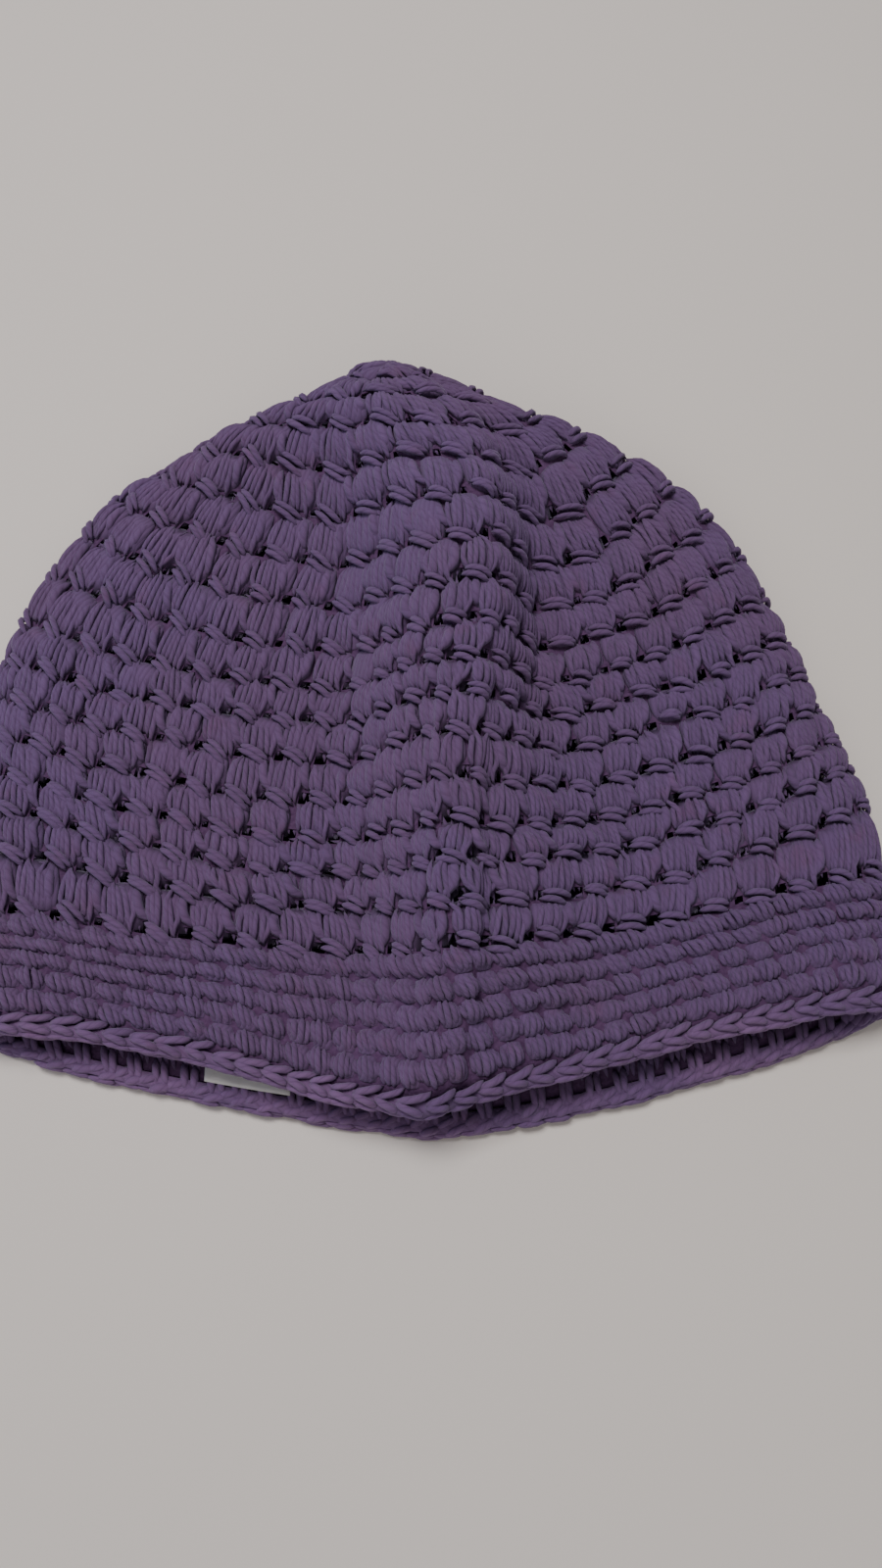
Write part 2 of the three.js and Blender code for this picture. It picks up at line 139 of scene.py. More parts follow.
def read_table(table: tuple, share: np.ndarray) -> np.ndarray:
    """Reads smooth curves through a table's columns.

    Args:
        table: Rows that start with a share from 0 to 1.
        share: The shares to read at.

    Returns:
        One row of column values for each share.
    """
    rows = np.array(table, float)
    shares, values = rows[:, 0], rows[:, 1:]
    slopes = np.empty_like(values)
    slopes[1:-1] = (values[2:] - values[:-2]) / (shares[2:] - shares[:-2])[:, None]
    slopes[0] = (values[1] - values[0]) / (shares[1] - shares[0])
    slopes[-1] = (values[-1] - values[-2]) / (shares[-1] - shares[-2])
    s = np.clip(np.asarray(share, float), 0, 1)
    i = np.clip(np.searchsorted(shares, s, side="left") - 1, 0, len(shares) - 2)
    step = (shares[i + 1] - shares[i])[:, None]
    t = (s - shares[i])[:, None] / step
    return (
        (2 * t**3 - 3 * t**2 + 1) * values[i]
        + (t**3 - 2 * t**2 + t) * step * slopes[i]
        + (-2 * t**3 + 3 * t**2) * values[i + 1]
        + (t**3 - t**2) * step * slopes[i + 1]
    )


def unit(vectors: np.ndarray) -> np.ndarray:
    """The same directions with length 1."""
    return vectors / (np.linalg.norm(vectors, axis=-1, keepdims=True) + 1e-12)


def ease(t: np.ndarray) -> np.ndarray:
    """Falls smoothly from 1 to 0 as t goes from 0 to 1."""
    return 0.5 * (1 + np.cos(np.pi * t))


def leftness(a: np.ndarray) -> np.ndarray:
    """How far into the left half of the hat a share round the ring lies, from 0 to 1."""
    return np.clip(-1.5 * np.sin(2 * np.pi * a), 0, 1)


def wander(s: np.ndarray, a: np.ndarray, wave: float) -> np.ndarray:
    """Distances from the tip that wander a little up and down as the rounds of hand work do."""
    return s + wave * np.sin(44 * a + s / 21) + wave * np.sin(82 * a - s / 15 + 2)


@dataclass
class HatSurface:
    """The kufi's outer face as a grid of even steps, in millimetres.

    A place on it is a distance from the tip, a share of the way round its ring from the crest
    of the standing fold over the right side fold, and a height above the face.

    The fold's flanks reach out by reach_left and reach_right, at most reach_most of a layer's
    half width, and fall with flank_power. The crest is a roll, full as far as roll_flat of
    roll_reach and gone roll_fade of it later. The layers round down to the side folds over
    round_upper and round_lower. crowding draws a ring's first samples toward the crest and the
    side folds, and outward directions are evened out over evening.
    """

    width: float = 252.0
    depth: float = 224.0
    fold_height: float = 42.0
    meridian: float = 216.4
    wall: float = 5.0
    reach_left: float = 42.0
    reach_right: float = 20.0
    reach_most: float = 0.9
    flank_power: float = 1.4
    roll_reach: float = 7.0
    roll_flat: float = 0.75
    roll_fade: float = 0.45
    round_upper: float = 18.0
    round_lower: float = 12.0
    crowding: float = 0.11
    evening: float = 7.0
    tip: float = 0.6
    shift: tuple[float, float, float] = (0.1295, -0.0739, 0.0)
    stations: int = 218
    samples: int = 512
    upper_steps: int = 161
    lower_steps: int = 241
    at: np.ndarray = field(init=False)
    points: np.ndarray = field(init=False)
    lengths: np.ndarray = field(init=False)
    normals: np.ndarray = field(init=False)
    bends: np.ndarray = field(init=False)

    def __post_init__(self) -> None:
        """Works out the grid of points, ring lengths, outward directions and bends."""
        self.at = np.linspace(self.tip, self.meridian, self.stations)
        self.points, self.lengths = self._rings(self.at)
        self.bends = np.zeros((self.stations, self.samples, 1))
        self.normals = self._directions()

    def _rows(self, at: np.ndarray) -> dict[str, np.ndarray]:
        """Every table's values at some distances from the tip."""
        return {name: read_table(table, at / self.meridian) for name, table in SHAPE.items()}

    @staticmethod
    def _side_round(t: np.ndarray, reach: float, half: np.ndarray) -> np.ndarray:
        """The rounding of a layer toward its side fold.

        Args:
            t: Shares of the way from the layer's middle to its side fold.
            reach: How far the rounding reaches in from the fold.
            half: The layer's half width.

        Returns:
            1 over most of the layer, falling as a quarter ellipse to 0 at the fold.
        """
        start = np.maximum(0, 1 - reach / np.maximum(half, 1e-6))
        inside = np.clip((t - start) / np.maximum(1 - start, 1e-9), 0, 1)
        return np.where(t <= start, 1.0, np.sqrt(np.maximum(0, 1 - inside**2)))

    def _edges(self, rows: dict[str, np.ndarray], side: np.ndarray) -> tuple[np.ndarray, ...]:
        """The x, y and z of the side fold that each point of a layer runs to."""
        folds, left = rows["side"], (side < 0)[None, :]
        x, y = (np.where(left, folds[:, [c]], folds[:, [c + 2]]) for c in (0, 1))
        return self.width * x, self.depth * y, self.fold_height * folds[:, [4]]

    def _upper(self, rows: dict[str, np.ndarray], side: np.ndarray) -> np.ndarray:
        """Points of the upper layer with its standing fold.

        Args:
            rows: The tables' values at some distances from the tip.
            side: Places across the layer, from -1 at the left fold to 1 at the right.

        Returns:
            Distances by places by 3.
        """
        crest, fold, bow, left = rows["crest"], rows["fold"], rows["bow"], (side < 0)[None, :]
        a = np.abs(side)[None, :]
        t = a - self.crowding * np.sin(2 * np.pi * a)
        edge_x, edge_y, edge_z = self._edges(rows, side)
        mid_x, mid_y = self.width * crest[:, [0]], self.depth * crest[:, [1]]
        half = np.abs(edge_x - mid_x)
        spread = np.where(left, self.reach_left * fold[:, [1]], self.reach_right * fold[:, [2]])
        reach = np.minimum(spread, self.reach_most * half + 1e-6)
        fall = np.minimum(half * t / reach, 1)
        panel = self.fold_height * np.where(left, crest[:, [3]], crest[:, [4]])
        lift = ease(fall**self.flank_power)
        roll = self.fold_height * fold[:, [0]]
        slack = np.clip((half * t / self.roll_reach - self.roll_flat) / self.roll_fade, 0, 1)
        peak = self.fold_height * crest[:, [2]]
        top = panel + (peak - roll - panel) * lift + roll * ease(slack)
        power = np.where(left, bow[:, [0]], bow[:, [2]])
        root = np.where(left, bow[:, [1]], bow[:, [3]])
        bulge = np.maximum(0, 1 - t**power) ** root
        height = edge_z + (top - edge_z) * self._side_round(t, self.round_upper, half)
        x, y = mid_x + (edge_x - mid_x) * t, edge_y + (mid_y - edge_y) * bulge
        return np.stack((x, y, height), axis=-1)

    def _lower(self, rows: dict[str, np.ndarray], side: np.ndarray) -> np.ndarray:
        """Points of the lower layer, which lies flat on the surface below it.

        Args:
            rows: The tables' values at some distances from the tip.
            side: Places across the layer, from -1 at the left fold to 1 at the right.

        Returns:
            Distances by places by 3.
        """
        under, bow = rows["under"], rows["bow"]
        t = np.sin(np.pi / 2 * np.abs(side))[None, :]
        edge_x, edge_y, edge_z = self._edges(rows, side)
        mid_x, mid_y = self.width * under[:, [0]], self.depth * under[:, [1]]
        floor = np.maximum(0, self.fold_height * under[:, [2]])
        half = np.abs(edge_x - mid_x)
        bulge = np.maximum(0, 1 - t ** bow[:, [4]]) ** bow[:, [5]]
        height = edge_z + (floor - edge_z) * self._side_round(t, self.round_lower, half)
        x, y = mid_x + (edge_x - mid_x) * t, edge_y + (mid_y - edge_y) * bulge
        return np.stack((x, y, height), axis=-1)

    def _rings(self, at: np.ndarray) -> tuple[np.ndarray, np.ndarray]:
        """Rings at some distances, each sampled at even steps of its own length.

        Args:
            at: Distances from the tip.

        Returns:
            The points of the rings, and each ring's length.
        """
        rows = self._rows(at)
        right = self._upper(rows, np.linspace(0, 1, self.upper_steps))
        below = self._lower(rows, np.linspace(1, -1, self.lower_steps))[:, 1:]
        left = self._upper(rows, np.linspace(-1, 0, self.upper_steps))[:, 1:]
        ring = np.concatenate((right, below, left), axis=1)
        steps = np.linalg.norm(np.diff(ring, axis=1), axis=2)
        run = np.concatenate((np.zeros((len(at), 1)), np.cumsum(steps, axis=1)), axis=1)
        even = np.empty((len(at), self.samples, 3))
        for i in range(len(at)):
            want = np.linspace(0, run[i, -1], self.samples + 1)[:-1]
            for c in range(3):
                even[i, :, c] = np.interp(want, run[i], ring[i, :, c])
        return even + np.array(self.shift), run[:, -1]

    def _directions(self) -> np.ndarray:
        """Works out how the face is turned and how tightly it bends.

        Returns:
            Outward directions at the grid's points, evened out over a few millimetres.
        """
        p, n = self.points, np.empty_like(self.points)
        for i, length in enumerate(self.lengths):
            k = min(max(1, round(self.evening * self.samples / length)), self.samples // 8)
            ring = np.roll(p[i], k, axis=0) - np.roll(p[i], -k, axis=0)
            along = p[min(i + 4, self.stations - 1)] - p[max(i - 4, 0)]
            v = unit(np.cross(ring, along))
            total, reach = v.copy(), max(1, k // 2)
            for d in range(1, reach + 1):
                total += np.roll(v, d, axis=0) + np.roll(v, -d, axis=0)
            size = np.linalg.norm(total, axis=1)[:, None]
            self.bends[i] = 1 - size / (1 + 2 * reach)
            n[i] = total / (size + 1e-12)
        for _ in range(2):
            m = n.copy()
            m[1:-1] = n[:-2] + n[2:] + 2 * n[1:-1]
            n = unit(m)
        return -n if n[self.stations // 2, 0, 2] < 0 else n

    def _read(self, grid: np.ndarray, s: np.ndarray, a: np.ndarray) -> np.ndarray:
        """Reads one of the grids between its points.

        Args:
            grid: Values at the grid's points.
            s: Distances from the tip.
            a: Shares of the way round the ring.

        Returns:
            The values there.
        """
        step = self.at[1] - self.at[0]
        down = np.clip((s - self.at[0]) / step, 0, self.stations - 1.000001)
        i = down.astype(int)
        u = (down - i)[..., None]
        turn = np.mod(a, 1.0) * self.samples
        j = turn.astype(int) % self.samples
        v = (turn - np.floor(turn))[..., None]
        k = (j + 1) % self.samples
        near = grid[i, j] * (1 - u) + grid[i + 1, j] * u
        far = grid[i, k] * (1 - u) + grid[i + 1, k] * u
        return near * (1 - v) + far * v

    def place(self, s: np.ndarray, a: np.ndarray, out: np.ndarray) -> np.ndarray:
        """Places points on the hat.

        Args:
            s: Distances from the tip, in millimetres.
            a: Shares of the way round the ring.
            out: Heights above the outer face, in millimetres.

        Returns:
            The points, in millimetres.
        """
        s, a, out = np.broadcast_arrays(s, a, out)
        return self._read(self.points, s, a) + unit(self._read(self.normals, s, a)) * out[..., None]

    def lining(self, s: float, x: np.ndarray, above: float) -> np.ndarray:
        """Places points above the lower layer's inner face, at one distance from the tip.

        Args:
            s: The distance from the tip, in millimetres.
            x: The places across the hat, in millimetres.
            above: The height above the inner face, in millimetres.

        Returns:
            The points, in millimetres.
        """
        rows = self._rows(np.array([s]))
        middle = self.width * rows["under"][0, 0]
        folds = rows["side"][0]
        edge = self.width * np.where(x < middle, folds[0], folds[2])
        turn = np.arcsin(np.clip((x - middle) / (edge - middle), 0, 0.999)) * 2 / np.pi
        points = self._lower(rows, np.where(x < middle, -turn, turn))[0]
        return points + np.array(self.shift) + np.array([0.0, 0.0, self.wall + above])

    def bend(self, s: np.ndarray, a: np.ndarray) -> np.ndarray:
        """How tightly the face turns at some places, from 0 where it is flat."""
        return self._read(self.bends, s, a)[..., 0]

    def length(self, s: float) -> float:
        """The length of the ring at a distance from the tip."""
        return float(np.interp(s, self.at, self.lengths))


# Meshes and nodes


def put(name: str, data: bpy.types.ID) -> bpy.types.Object:
    """Puts a mesh, a light or a camera into the scene as an object at the origin."""
    made = bpy.data.objects.new(name, data)
    bpy.context.scene.collection.objects.link(made)
    return made


def smooth_mesh(
    name: str, points: np.ndarray, faces: list, material: bpy.types.Material
) -> bpy.types.Mesh:
    """Makes a mesh with smooth shading.

    Args:
        name: The mesh's name.
        points: Its points, in millimetres.
        faces: Its faces, as indices of its points.
        material: Its finish.

    Returns:
        The mesh, in metres.
    """
    mesh = bpy.data.meshes.new(name)
    mesh.from_pydata((points * MM).tolist(), [], faces)
    mesh.materials.append(material)
    mesh.shade_smooth()
    return mesh


def write_numbers(mesh: bpy.types.Mesh, label: str, values: np.ndarray) -> None:
    """Writes a number for each point of a mesh under a name."""
    attribute = mesh.attributes.new(label, "FLOAT", "POINT")
    attribute.data.foreach_set("value", values.astype(np.float32))


def write_map(mesh: bpy.types.Mesh, spots: np.ndarray) -> None:
    """Writes a mesh's flat map.

    Args:
        mesh: The mesh.
        spots: The place on the map of each of its points.
    """
    corner = np.empty(len(mesh.loops), np.int32)
    mesh.loops.foreach_get("vertex_index", corner)
    uv = mesh.uv_layers.new(name="UVMap")
    uv.data.foreach_set("uv", spots[corner].astype(np.float32).ravel())


def grid_faces(rows: int, cols: int) -> tuple[list[tuple[int, ...]], list[int]]:
    """Works out the faces of a grid of points.

    Args:
        rows: Its cells down.
        cols: Its cells across.

    Returns:
        A face for each cell, and the loop of points round the grid's edge.
    """
    wide = cols + 1
    corners = [i * wide + j for i in range(rows) for j in range(cols)]
    edge = list(range(cols)) + [i * wide + cols for i in range(rows)]
    edge += [rows * wide + j for j in range(cols, 0, -1)] + [i * wide for i in range(rows, 0, -1)]
    return [(k, k + wide, k + wide + 1, k + 1) for k in corners], edge


class Nodes:
    """A short way to write the nodes of a tree."""

    def __init__(self, tree: bpy.types.NodeTree) -> None:
        """Keeps the tree that the nodes go into."""
        self.tree = tree

    def feed(self, socket: bpy.types.NodeSocket, value: object) -> None:
        """Gives an input a number, a colour or another node's output."""
        if isinstance(value, bpy.types.NodeSocket):
            self.tree.links.new(value, socket)
        else:
            socket.default_value = value

    def add(self, kind: str, inputs: dict | None = None, **settings: object) -> bpy.types.Node:
        """Adds a node.

        Args:
            kind: The node's type.
            inputs: Numbers, colours or outputs by input name or index.
            settings: The node's own settings.

        Returns:
            The node.
        """
        node = self.tree.nodes.new(kind)
        for name, value in settings.items():
            setattr(node, name, value)
        for key, value in (inputs or {}).items():
            self.feed(node.inputs[key], value)
        return node

    def out(self, kind: str, inputs: dict | None = None, **settings: object) -> bpy.types.NodeSocket:
        """Adds a node as add does, and gives its first output."""
        return self.add(kind, inputs, **settings).outputs[0]

    def maths(self, kind: str, *values: object) -> bpy.types.NodeSocket:
        """A math node's output."""
        return self.out("ShaderNodeMath", dict(enumerate(values)), operation=kind)

    def blend(self, share: object, a: object, b: object, kind: str = "MIX") -> bpy.types.NodeSocket:
        """A colour between two colours."""
        node = self.add("ShaderNodeMix", data_type="RGBA", blend_type=kind)
        for index, value in ((0, share), (6, a), (7, b)):
            self.feed(node.inputs[index], value)
        return node.outputs[2]

    def spread(
        self, value: object, low: float, high: float, a: float = 0.0, b: float = 1.0
    ) -> bpy.types.NodeSocket:
        """Maps a range of numbers to another, clamped."""
        return self.out("ShaderNodeMapRange", {0: value, 1: low, 2: high, 3: a, 4: b}, clamp=True)

    def noise(
        self, place: object, scale: float, detail: float, rough: float = 0.5
    ) -> bpy.types.NodeSocket:
        """A noise pattern's output at a place."""
        inputs = {"Vector": place, "Scale": scale, "Detail": detail, "Roughness": rough}
        return self.out("ShaderNodeTexNoise", inputs)

    def object_place(self) -> bpy.types.NodeSocket:
        """The place on the object, in metres."""
        return self.add("ShaderNodeTexCoord").outputs["Object"]

    def map_place(self) -> tuple[bpy.types.NodeSocket, bpy.types.NodeSocket]:
        """The two numbers of the piece's own flat map."""
        flat = self.out("ShaderNodeUVMap", uv_map="UVMap")
        return tuple(self.add("ShaderNodeSeparateXYZ", {0: flat}).outputs[:2])

    def bump(self, height: object, depth: float, strength: float) -> bpy.types.NodeSocket:
        """A normal from a pattern of heights."""
        return self.out("ShaderNodeBump", {"Strength": strength, "Distance": depth, "Height": height})

    def surface(self, inputs: dict[str, object]) -> None:
        """Adds a Principled surface with these inputs and the material's output."""
        shade = self.out("ShaderNodeBsdfPrincipled", inputs)
        self.add("ShaderNodeOutputMaterial", {"Surface": shade})


def empty_material(name: str) -> tuple[bpy.types.Material, Nodes]:
    """Starts a material without nodes.

    Args:
        name: The material's name.

    Returns:
        The material, and the writer of its nodes.
    """
    made = bpy.data.materials.new(name)
    made.use_nodes = True
    made.node_tree.nodes.clear()
    return made, Nodes(made.node_tree)


# Yarn


@dataclass
class Strands:
    """Many short strands of yarn, each a row of points with a thickness at each of them."""

    points: list[np.ndarray] = field(default_factory=list)
    girth: list[np.ndarray] = field(default_factory=list)
    tone: list[np.ndarray] = field(default_factory=list)

    def add(self, points: np.ndarray, girth: np.ndarray, tone: np.ndarray) -> None:
        """Adds strands.

        Args:
            points: Strands by points by 3, in millimetres.
            girth: Strands by points, radius in millimetres, 0 at both ends.
            tone: Strands by points, from 0 to 1, and below 0 as painted shade where the yarn lies deep.
        """
        self.points.append(points)
        self.girth.append(girth)
        self.tone.append(tone)

    def mesh(self, name: str) -> bpy.types.Mesh:
        """Makes a mesh of loose edges that carries girth, tone and run as attributes.

        Args:
            name: The mesh's name.

        Returns:
            The mesh, in metres.
        """
        places, radii, tones, runs, edges, first = [], [], [], [], [], 0
        for points, girth, tone in zip(self.points, self.girth, self.tone):
            count, steps = points.shape[:2]
            legs = np.linalg.norm(np.diff(points, axis=1), axis=2)
            run = np.concatenate((np.zeros((count, 1)), np.cumsum(legs, axis=1)), axis=1)
            index = first + np.arange(count * steps).reshape(count, steps)
            edges.append(np.stack((index[:, :-1].ravel(), index[:, 1:].ravel()), axis=1))
            places.append(points.reshape(-1, 3) * MM)
            radii.append(girth.ravel() * MM)
            tones.append(tone.ravel())
            # Each strand's twist starts at a place of its own, taken from its tone.
            twist_start = 7.0 * tone.max(axis=1)[:, None] * 37.0 % 11.0
            runs.append((run + twist_start).ravel())
            first += count * steps
        lines, spots = np.concatenate(edges), np.concatenate(places)
        mesh = bpy.data.meshes.new(name)
        mesh.vertices.add(len(spots))
        mesh.vertices.foreach_set("co", spots.astype(np.float32).ravel())
        mesh.edges.add(len(lines))
        mesh.edges.foreach_set("vertices", lines.astype(np.int32).ravel())
        for label, values in (("girth", radii), ("tone", tones), ("run", runs)):
            write_numbers(mesh, label, np.concatenate(values))
        mesh.update()
        return mesh


class YarnSweep:
    """A Geometry Nodes tree that turns strands into yarn, and what it makes of them."""

    def __init__(self) -> None:
        """Builds the tree: it shakes the strands, sweeps a circle along them and closes them."""
        self.tree = bpy.data.node_groups.new("yarn_sweep", "GeometryNodeTree")
        face = self.tree.interface
        face.new_socket("Geometry", in_out="INPUT", socket_type="NodeSocketGeometry")
        for label, kind, value in (
            ("Thickness", "NodeSocketFloat", 1.0),
            ("Sides", "NodeSocketInt", 6),
            ("Unevenness", "NodeSocketFloat", 0.0001),
            ("Seed", "NodeSocketInt", SEED),
        ):
            face.new_socket(label, in_out="INPUT", socket_type=kind).default_value = value
        face.new_socket("Yarn", in_out="INPUT", socket_type="NodeSocketMaterial")
        face.new_socket("Geometry", in_out="OUTPUT", socket_type="NodeSocketGeometry")
        draw = Nodes(self.tree)
        given = draw.add("NodeGroupInput").outputs
        curves = draw.out("GeometryNodeMeshToCurve", {"Mesh": self._shaken(draw, given)})
        girth, around, run = (
            draw.out("GeometryNodeInputNamedAttribute", {"Name": label}, data_type="FLOAT")
            for label in ("girth", "around", "run")
        )
        thick = draw.maths("MULTIPLY", girth, given["Thickness"])
        swept = draw.out(
            "GeometryNodeCurveToMesh",
            {"Curve": curves, "Profile Curve": self._circle(draw, given), "Scale": thick},
        )
        pair = draw.out("ShaderNodeCombineXYZ", {"X": around, "Y": run})
        mapped = draw.out(
            "GeometryNodeStoreNamedAttribute",
            {"Geometry": swept, "Name": "UVMap", "Value": pair},
            data_type="FLOAT2",
            domain="CORNER",
        )
        closed = draw.out("GeometryNodeMergeByDistance", {"Geometry": mapped, "Distance": 2e-6})
        smooth = draw.out("GeometryNodeSetShadeSmooth", {"Geometry": closed})
        real = draw.out("GeometryNodeRealizeInstances", {"Geometry": smooth})
        painted = draw.out("GeometryNodeSetMaterial", {"Geometry": real, "Material": given["Yarn"]})
        draw.add("NodeGroupOutput", {"Geometry": painted})

    @staticmethod
    def _shaken(draw: Nodes, given: bpy.types.NodeOutputs) -> bpy.types.NodeSocket:
        """The strands with their points moved a little by noise.

        Args:
            draw: The writer of the tree's nodes.
            given: The tree's inputs.

        Returns:
            The moved strands.
        """
        noise = draw.add(
            "ShaderNodeTexNoise",
            {"W": given["Seed"], "Scale": 240.0, "Detail": 1.0},
            noise_dimensions="4D",
        )
        centred = draw.out(
            "ShaderNodeVectorMath",
            {0: noise.outputs["Color"], 1: (0.5, 0.5, 0.5)},
            operation="SUBTRACT",
        )
        scaled = draw.out(
            "ShaderNodeVectorMath", {0: centred, "Scale": given["Unevenness"]}, operation="SCALE"
        )
        return draw.out("GeometryNodeSetPosition", {"Geometry": given["Geometry"], "Offset": scaled})

    @staticmethod
    def _circle(draw: Nodes, given: bpy.types.NodeOutputs) -> bpy.types.NodeSocket:
        """The circle that is swept, with the share of the way round it written on it.

        Args:
            draw: The writer of the tree's nodes.
            given: The tree's inputs.

        Returns:
            The circle, as an arc whose ends meet.
        """
        points = draw.maths("ADD", given["Sides"], 1.0)
        arc = draw.out(
            "GeometryNodeCurveArc",
            {"Resolution": points, "Radius": 1.0, "Sweep Angle": 2 * math.pi},
            mode="RADIUS",
        )
        factor = draw.add("GeometryNodeSplineParameter").outputs["Factor"]
        return draw.out(
            "GeometryNodeStoreNamedAttribute",
            {"Geometry": arc, "Name": "around", "Value": factor},
            data_type="FLOAT",
            domain="POINT",
        )

    def make(
        self, name: str, strands: Strands, material: bpy.types.Material, sides: int = 6
    ) -> bpy.types.Object:
        """Makes one piece of yarn from strands.

        Args:
            name: The piece's name.
            strands: Its strands.
            material: Its yarn.
            sides: Sides of a strand.

        Returns:
            The piece, a plain mesh.
        """
        source = put(name + "_lines", strands.mesh(name + "_lines"))
        modifier = source.modifiers.new("yarn", "NODES")
        modifier.node_group = self.tree
        values = {"Sides": sides, "Seed": SEED, "Yarn": material}
        for item in self.tree.interface.items_tree:
            if item.item_type == "SOCKET" and item.in_out == "INPUT" and item.name in values:
                modifier[item.identifier] = values[item.name]
        bpy.context.view_layer.update()
        seen = source.evaluated_get(bpy.context.evaluated_depsgraph_get())
        mesh = bpy.data.meshes.new_from_object(seen)
        lines = source.data
        bpy.data.objects.remove(source)
        bpy.data.meshes.remove(lines)
        mesh.name = name
        for label in ("around", "girth", "run"):
            if label in mesh.attributes:
                mesh.attributes.remove(mesh.attributes[label])
        if not mesh.materials:
            mesh.materials.append(material)
        return put(name, mesh)


@dataclass(frozen=True)
class StrandPlan:
    """One strand of a stitch: where it starts, passes and ends, in shares of the stitch's cell.

    x runs round the hat and y runs from the tip to the rim. lift is the height of its middle
    above the outer face and tuck that of its ends, in millimetres; radius is the yarn's. A
    strand that parts is moved aside where it meets an opening.
    """

    start: tuple[float, float]
    end: tuple[float, float]
    lift: float
    tuck: float
    radius: float = 0.95
    bend: tuple[float, float] = (0.0, 0.0)
    parts: bool = True

    def path(self, steps: int) -> np.ndarray:
        """The strand's points as x, y and height, from its start to its end."""
        t = np.linspace(0, 1, steps)
        rise = np.sin(np.pi * t) ** 0.7
        x = self.start[0] + (self.end[0] - self.start[0]) * t + self.bend[0] * np.sin(np.pi * t)
        y = self.start[1] + (self.end[1] - self.start[1]) * t + self.bend[1] * np.sin(np.pi * t)
        return np.stack((x, y, self.tuck + (self.lift - self.tuck) * rise), axis=1)


@dataclass(frozen=True)
class Line:
    """A line round the hat: its distance from the tip on the left and on the right."""

    left: float
    right: float

    def at(self, a: np.ndarray) -> np.ndarray:
        """The line's distance from the tip at some shares round the ring."""
        turn = np.clip(1.3 * np.sin(2 * np.pi * a), -1, 1)
        return (self.left + self.right) / 2 + (self.right - self.left) / 2 * turn


@dataclass(frozen=True)
class Round:
    """One round of stitches between two lines.

    phase shifts the round by shares of a stitch. gather is the number of stitches that the steep
    left flank of the fold holds beyond its length's share, and flank is that flank's middle and
    half width as shares of the ring.
    """

    above: Line
    below: Line
    count: int
    phase: float
    gather: float = 0.0
    flank: tuple[float, float] = (-0.042, 0.030)

    def share(self, cells: np.ndarray) -> np.ndarray:
        """The shares round the ring of places counted in stitches.

        Args:
            cells: Places counted in stitches from the crest.

        Returns:
            The shares of the way round, from -0.5 to 0.5.
        """
        a = np.linspace(-0.5, 0.5, 801)
        steep = np.clip((a - self.flank[0]) / self.flank[1], -1, 1) / 2
        eased = np.where(np.abs(a) > 0.25, np.sign(a) * (0.5 - np.abs(a)) * 2, steep)
        count = self.count * a + self.gather * eased + self.phase
        start = count[0]
        wrapped = np.mod(cells - start, self.count) + start
        turns = cells - wrapped
        return np.interp(wrapped, count, a) + turns / self.count

    def along(self, a: np.ndarray, y: np.ndarray) -> np.ndarray:
        """The distance from the tip of a place y of the way down the round."""
        top = self.above.at(a)
        return top + (self.below.at(a) - top) * y

    def cell(self, hat: HatSurface) -> float:
        """The width of one stitch at the crest, halfway down the round."""
        return hat.length(float(self.along(np.array(0.0), np.array(0.5)))) / self.count


@dataclass(frozen=True)
class Eyelets:
    """The small openings between the dome's stitches.

    spots are their distances from the tip and shares round. fade is how far along a strand it
    still moves aside for an opening, in millimetres.
    """

    spots: np.ndarray
    centres: np.ndarray
    normals: np.ndarray
    radii: np.ndarray
    fade: float = 2.4

    def part(self, points: np.ndarray, reach: np.ndarray) -> np.ndarray:
        """Moves strands aside where they would cross an opening.

        Args:
            points: Strands by points by 3, in millimetres.
            reach: Each strand's own thickness, which it keeps from an opening's edge.

        Returns:
            The moved points.
        """
        gaps = np.linalg.norm(points[:, :, None, :] - self.centres, axis=3)
        step, hole = np.divmod(gaps.reshape(len(points), -1).argmin(axis=1), len(self.centres))
        each, last = np.arange(len(points)), points.shape[1] - 1
        ahead = points[each, np.minimum(step + 1, last)] - points[each, np.maximum(step - 1, 0)]
        up = self.normals[hole]
        ahead = unit(ahead - up * np.sum(ahead * up, axis=1)[:, None])
        aside = np.cross(up, ahead)
        away = points - self.centres[hole][:, None, :]
        offset = np.sum(away * aside[:, None, :], axis=2)[each, step]
        room = self.radii[hole] + reach
        push = np.where(offset >= 0, 1.0, -1.0) * np.clip(room - np.abs(offset), 0, None)
        share = np.exp(-((np.sum(away * ahead[:, None, :], axis=2) / self.fade) ** 2))
        return points + aside[:, None, :] * (push[:, None] * share)[..., None]

    def near(self, points: np.ndarray) -> np.ndarray:
        """Works out how close points lie to an opening.

        Args:
            points: Any number of points, in millimetres.

        Returns:
            A share for each point, from 0 far away to 1 in an opening's middle.
        """
        flat = points.reshape(-1, 1, 3) - self.centres[None]
        gap = (np.linalg.norm(flat, axis=2) / self.radii).min(axis=1).reshape(points.shape[:-1])
        return np.clip(1.25 - gap / 2, 0, 1) ** 2


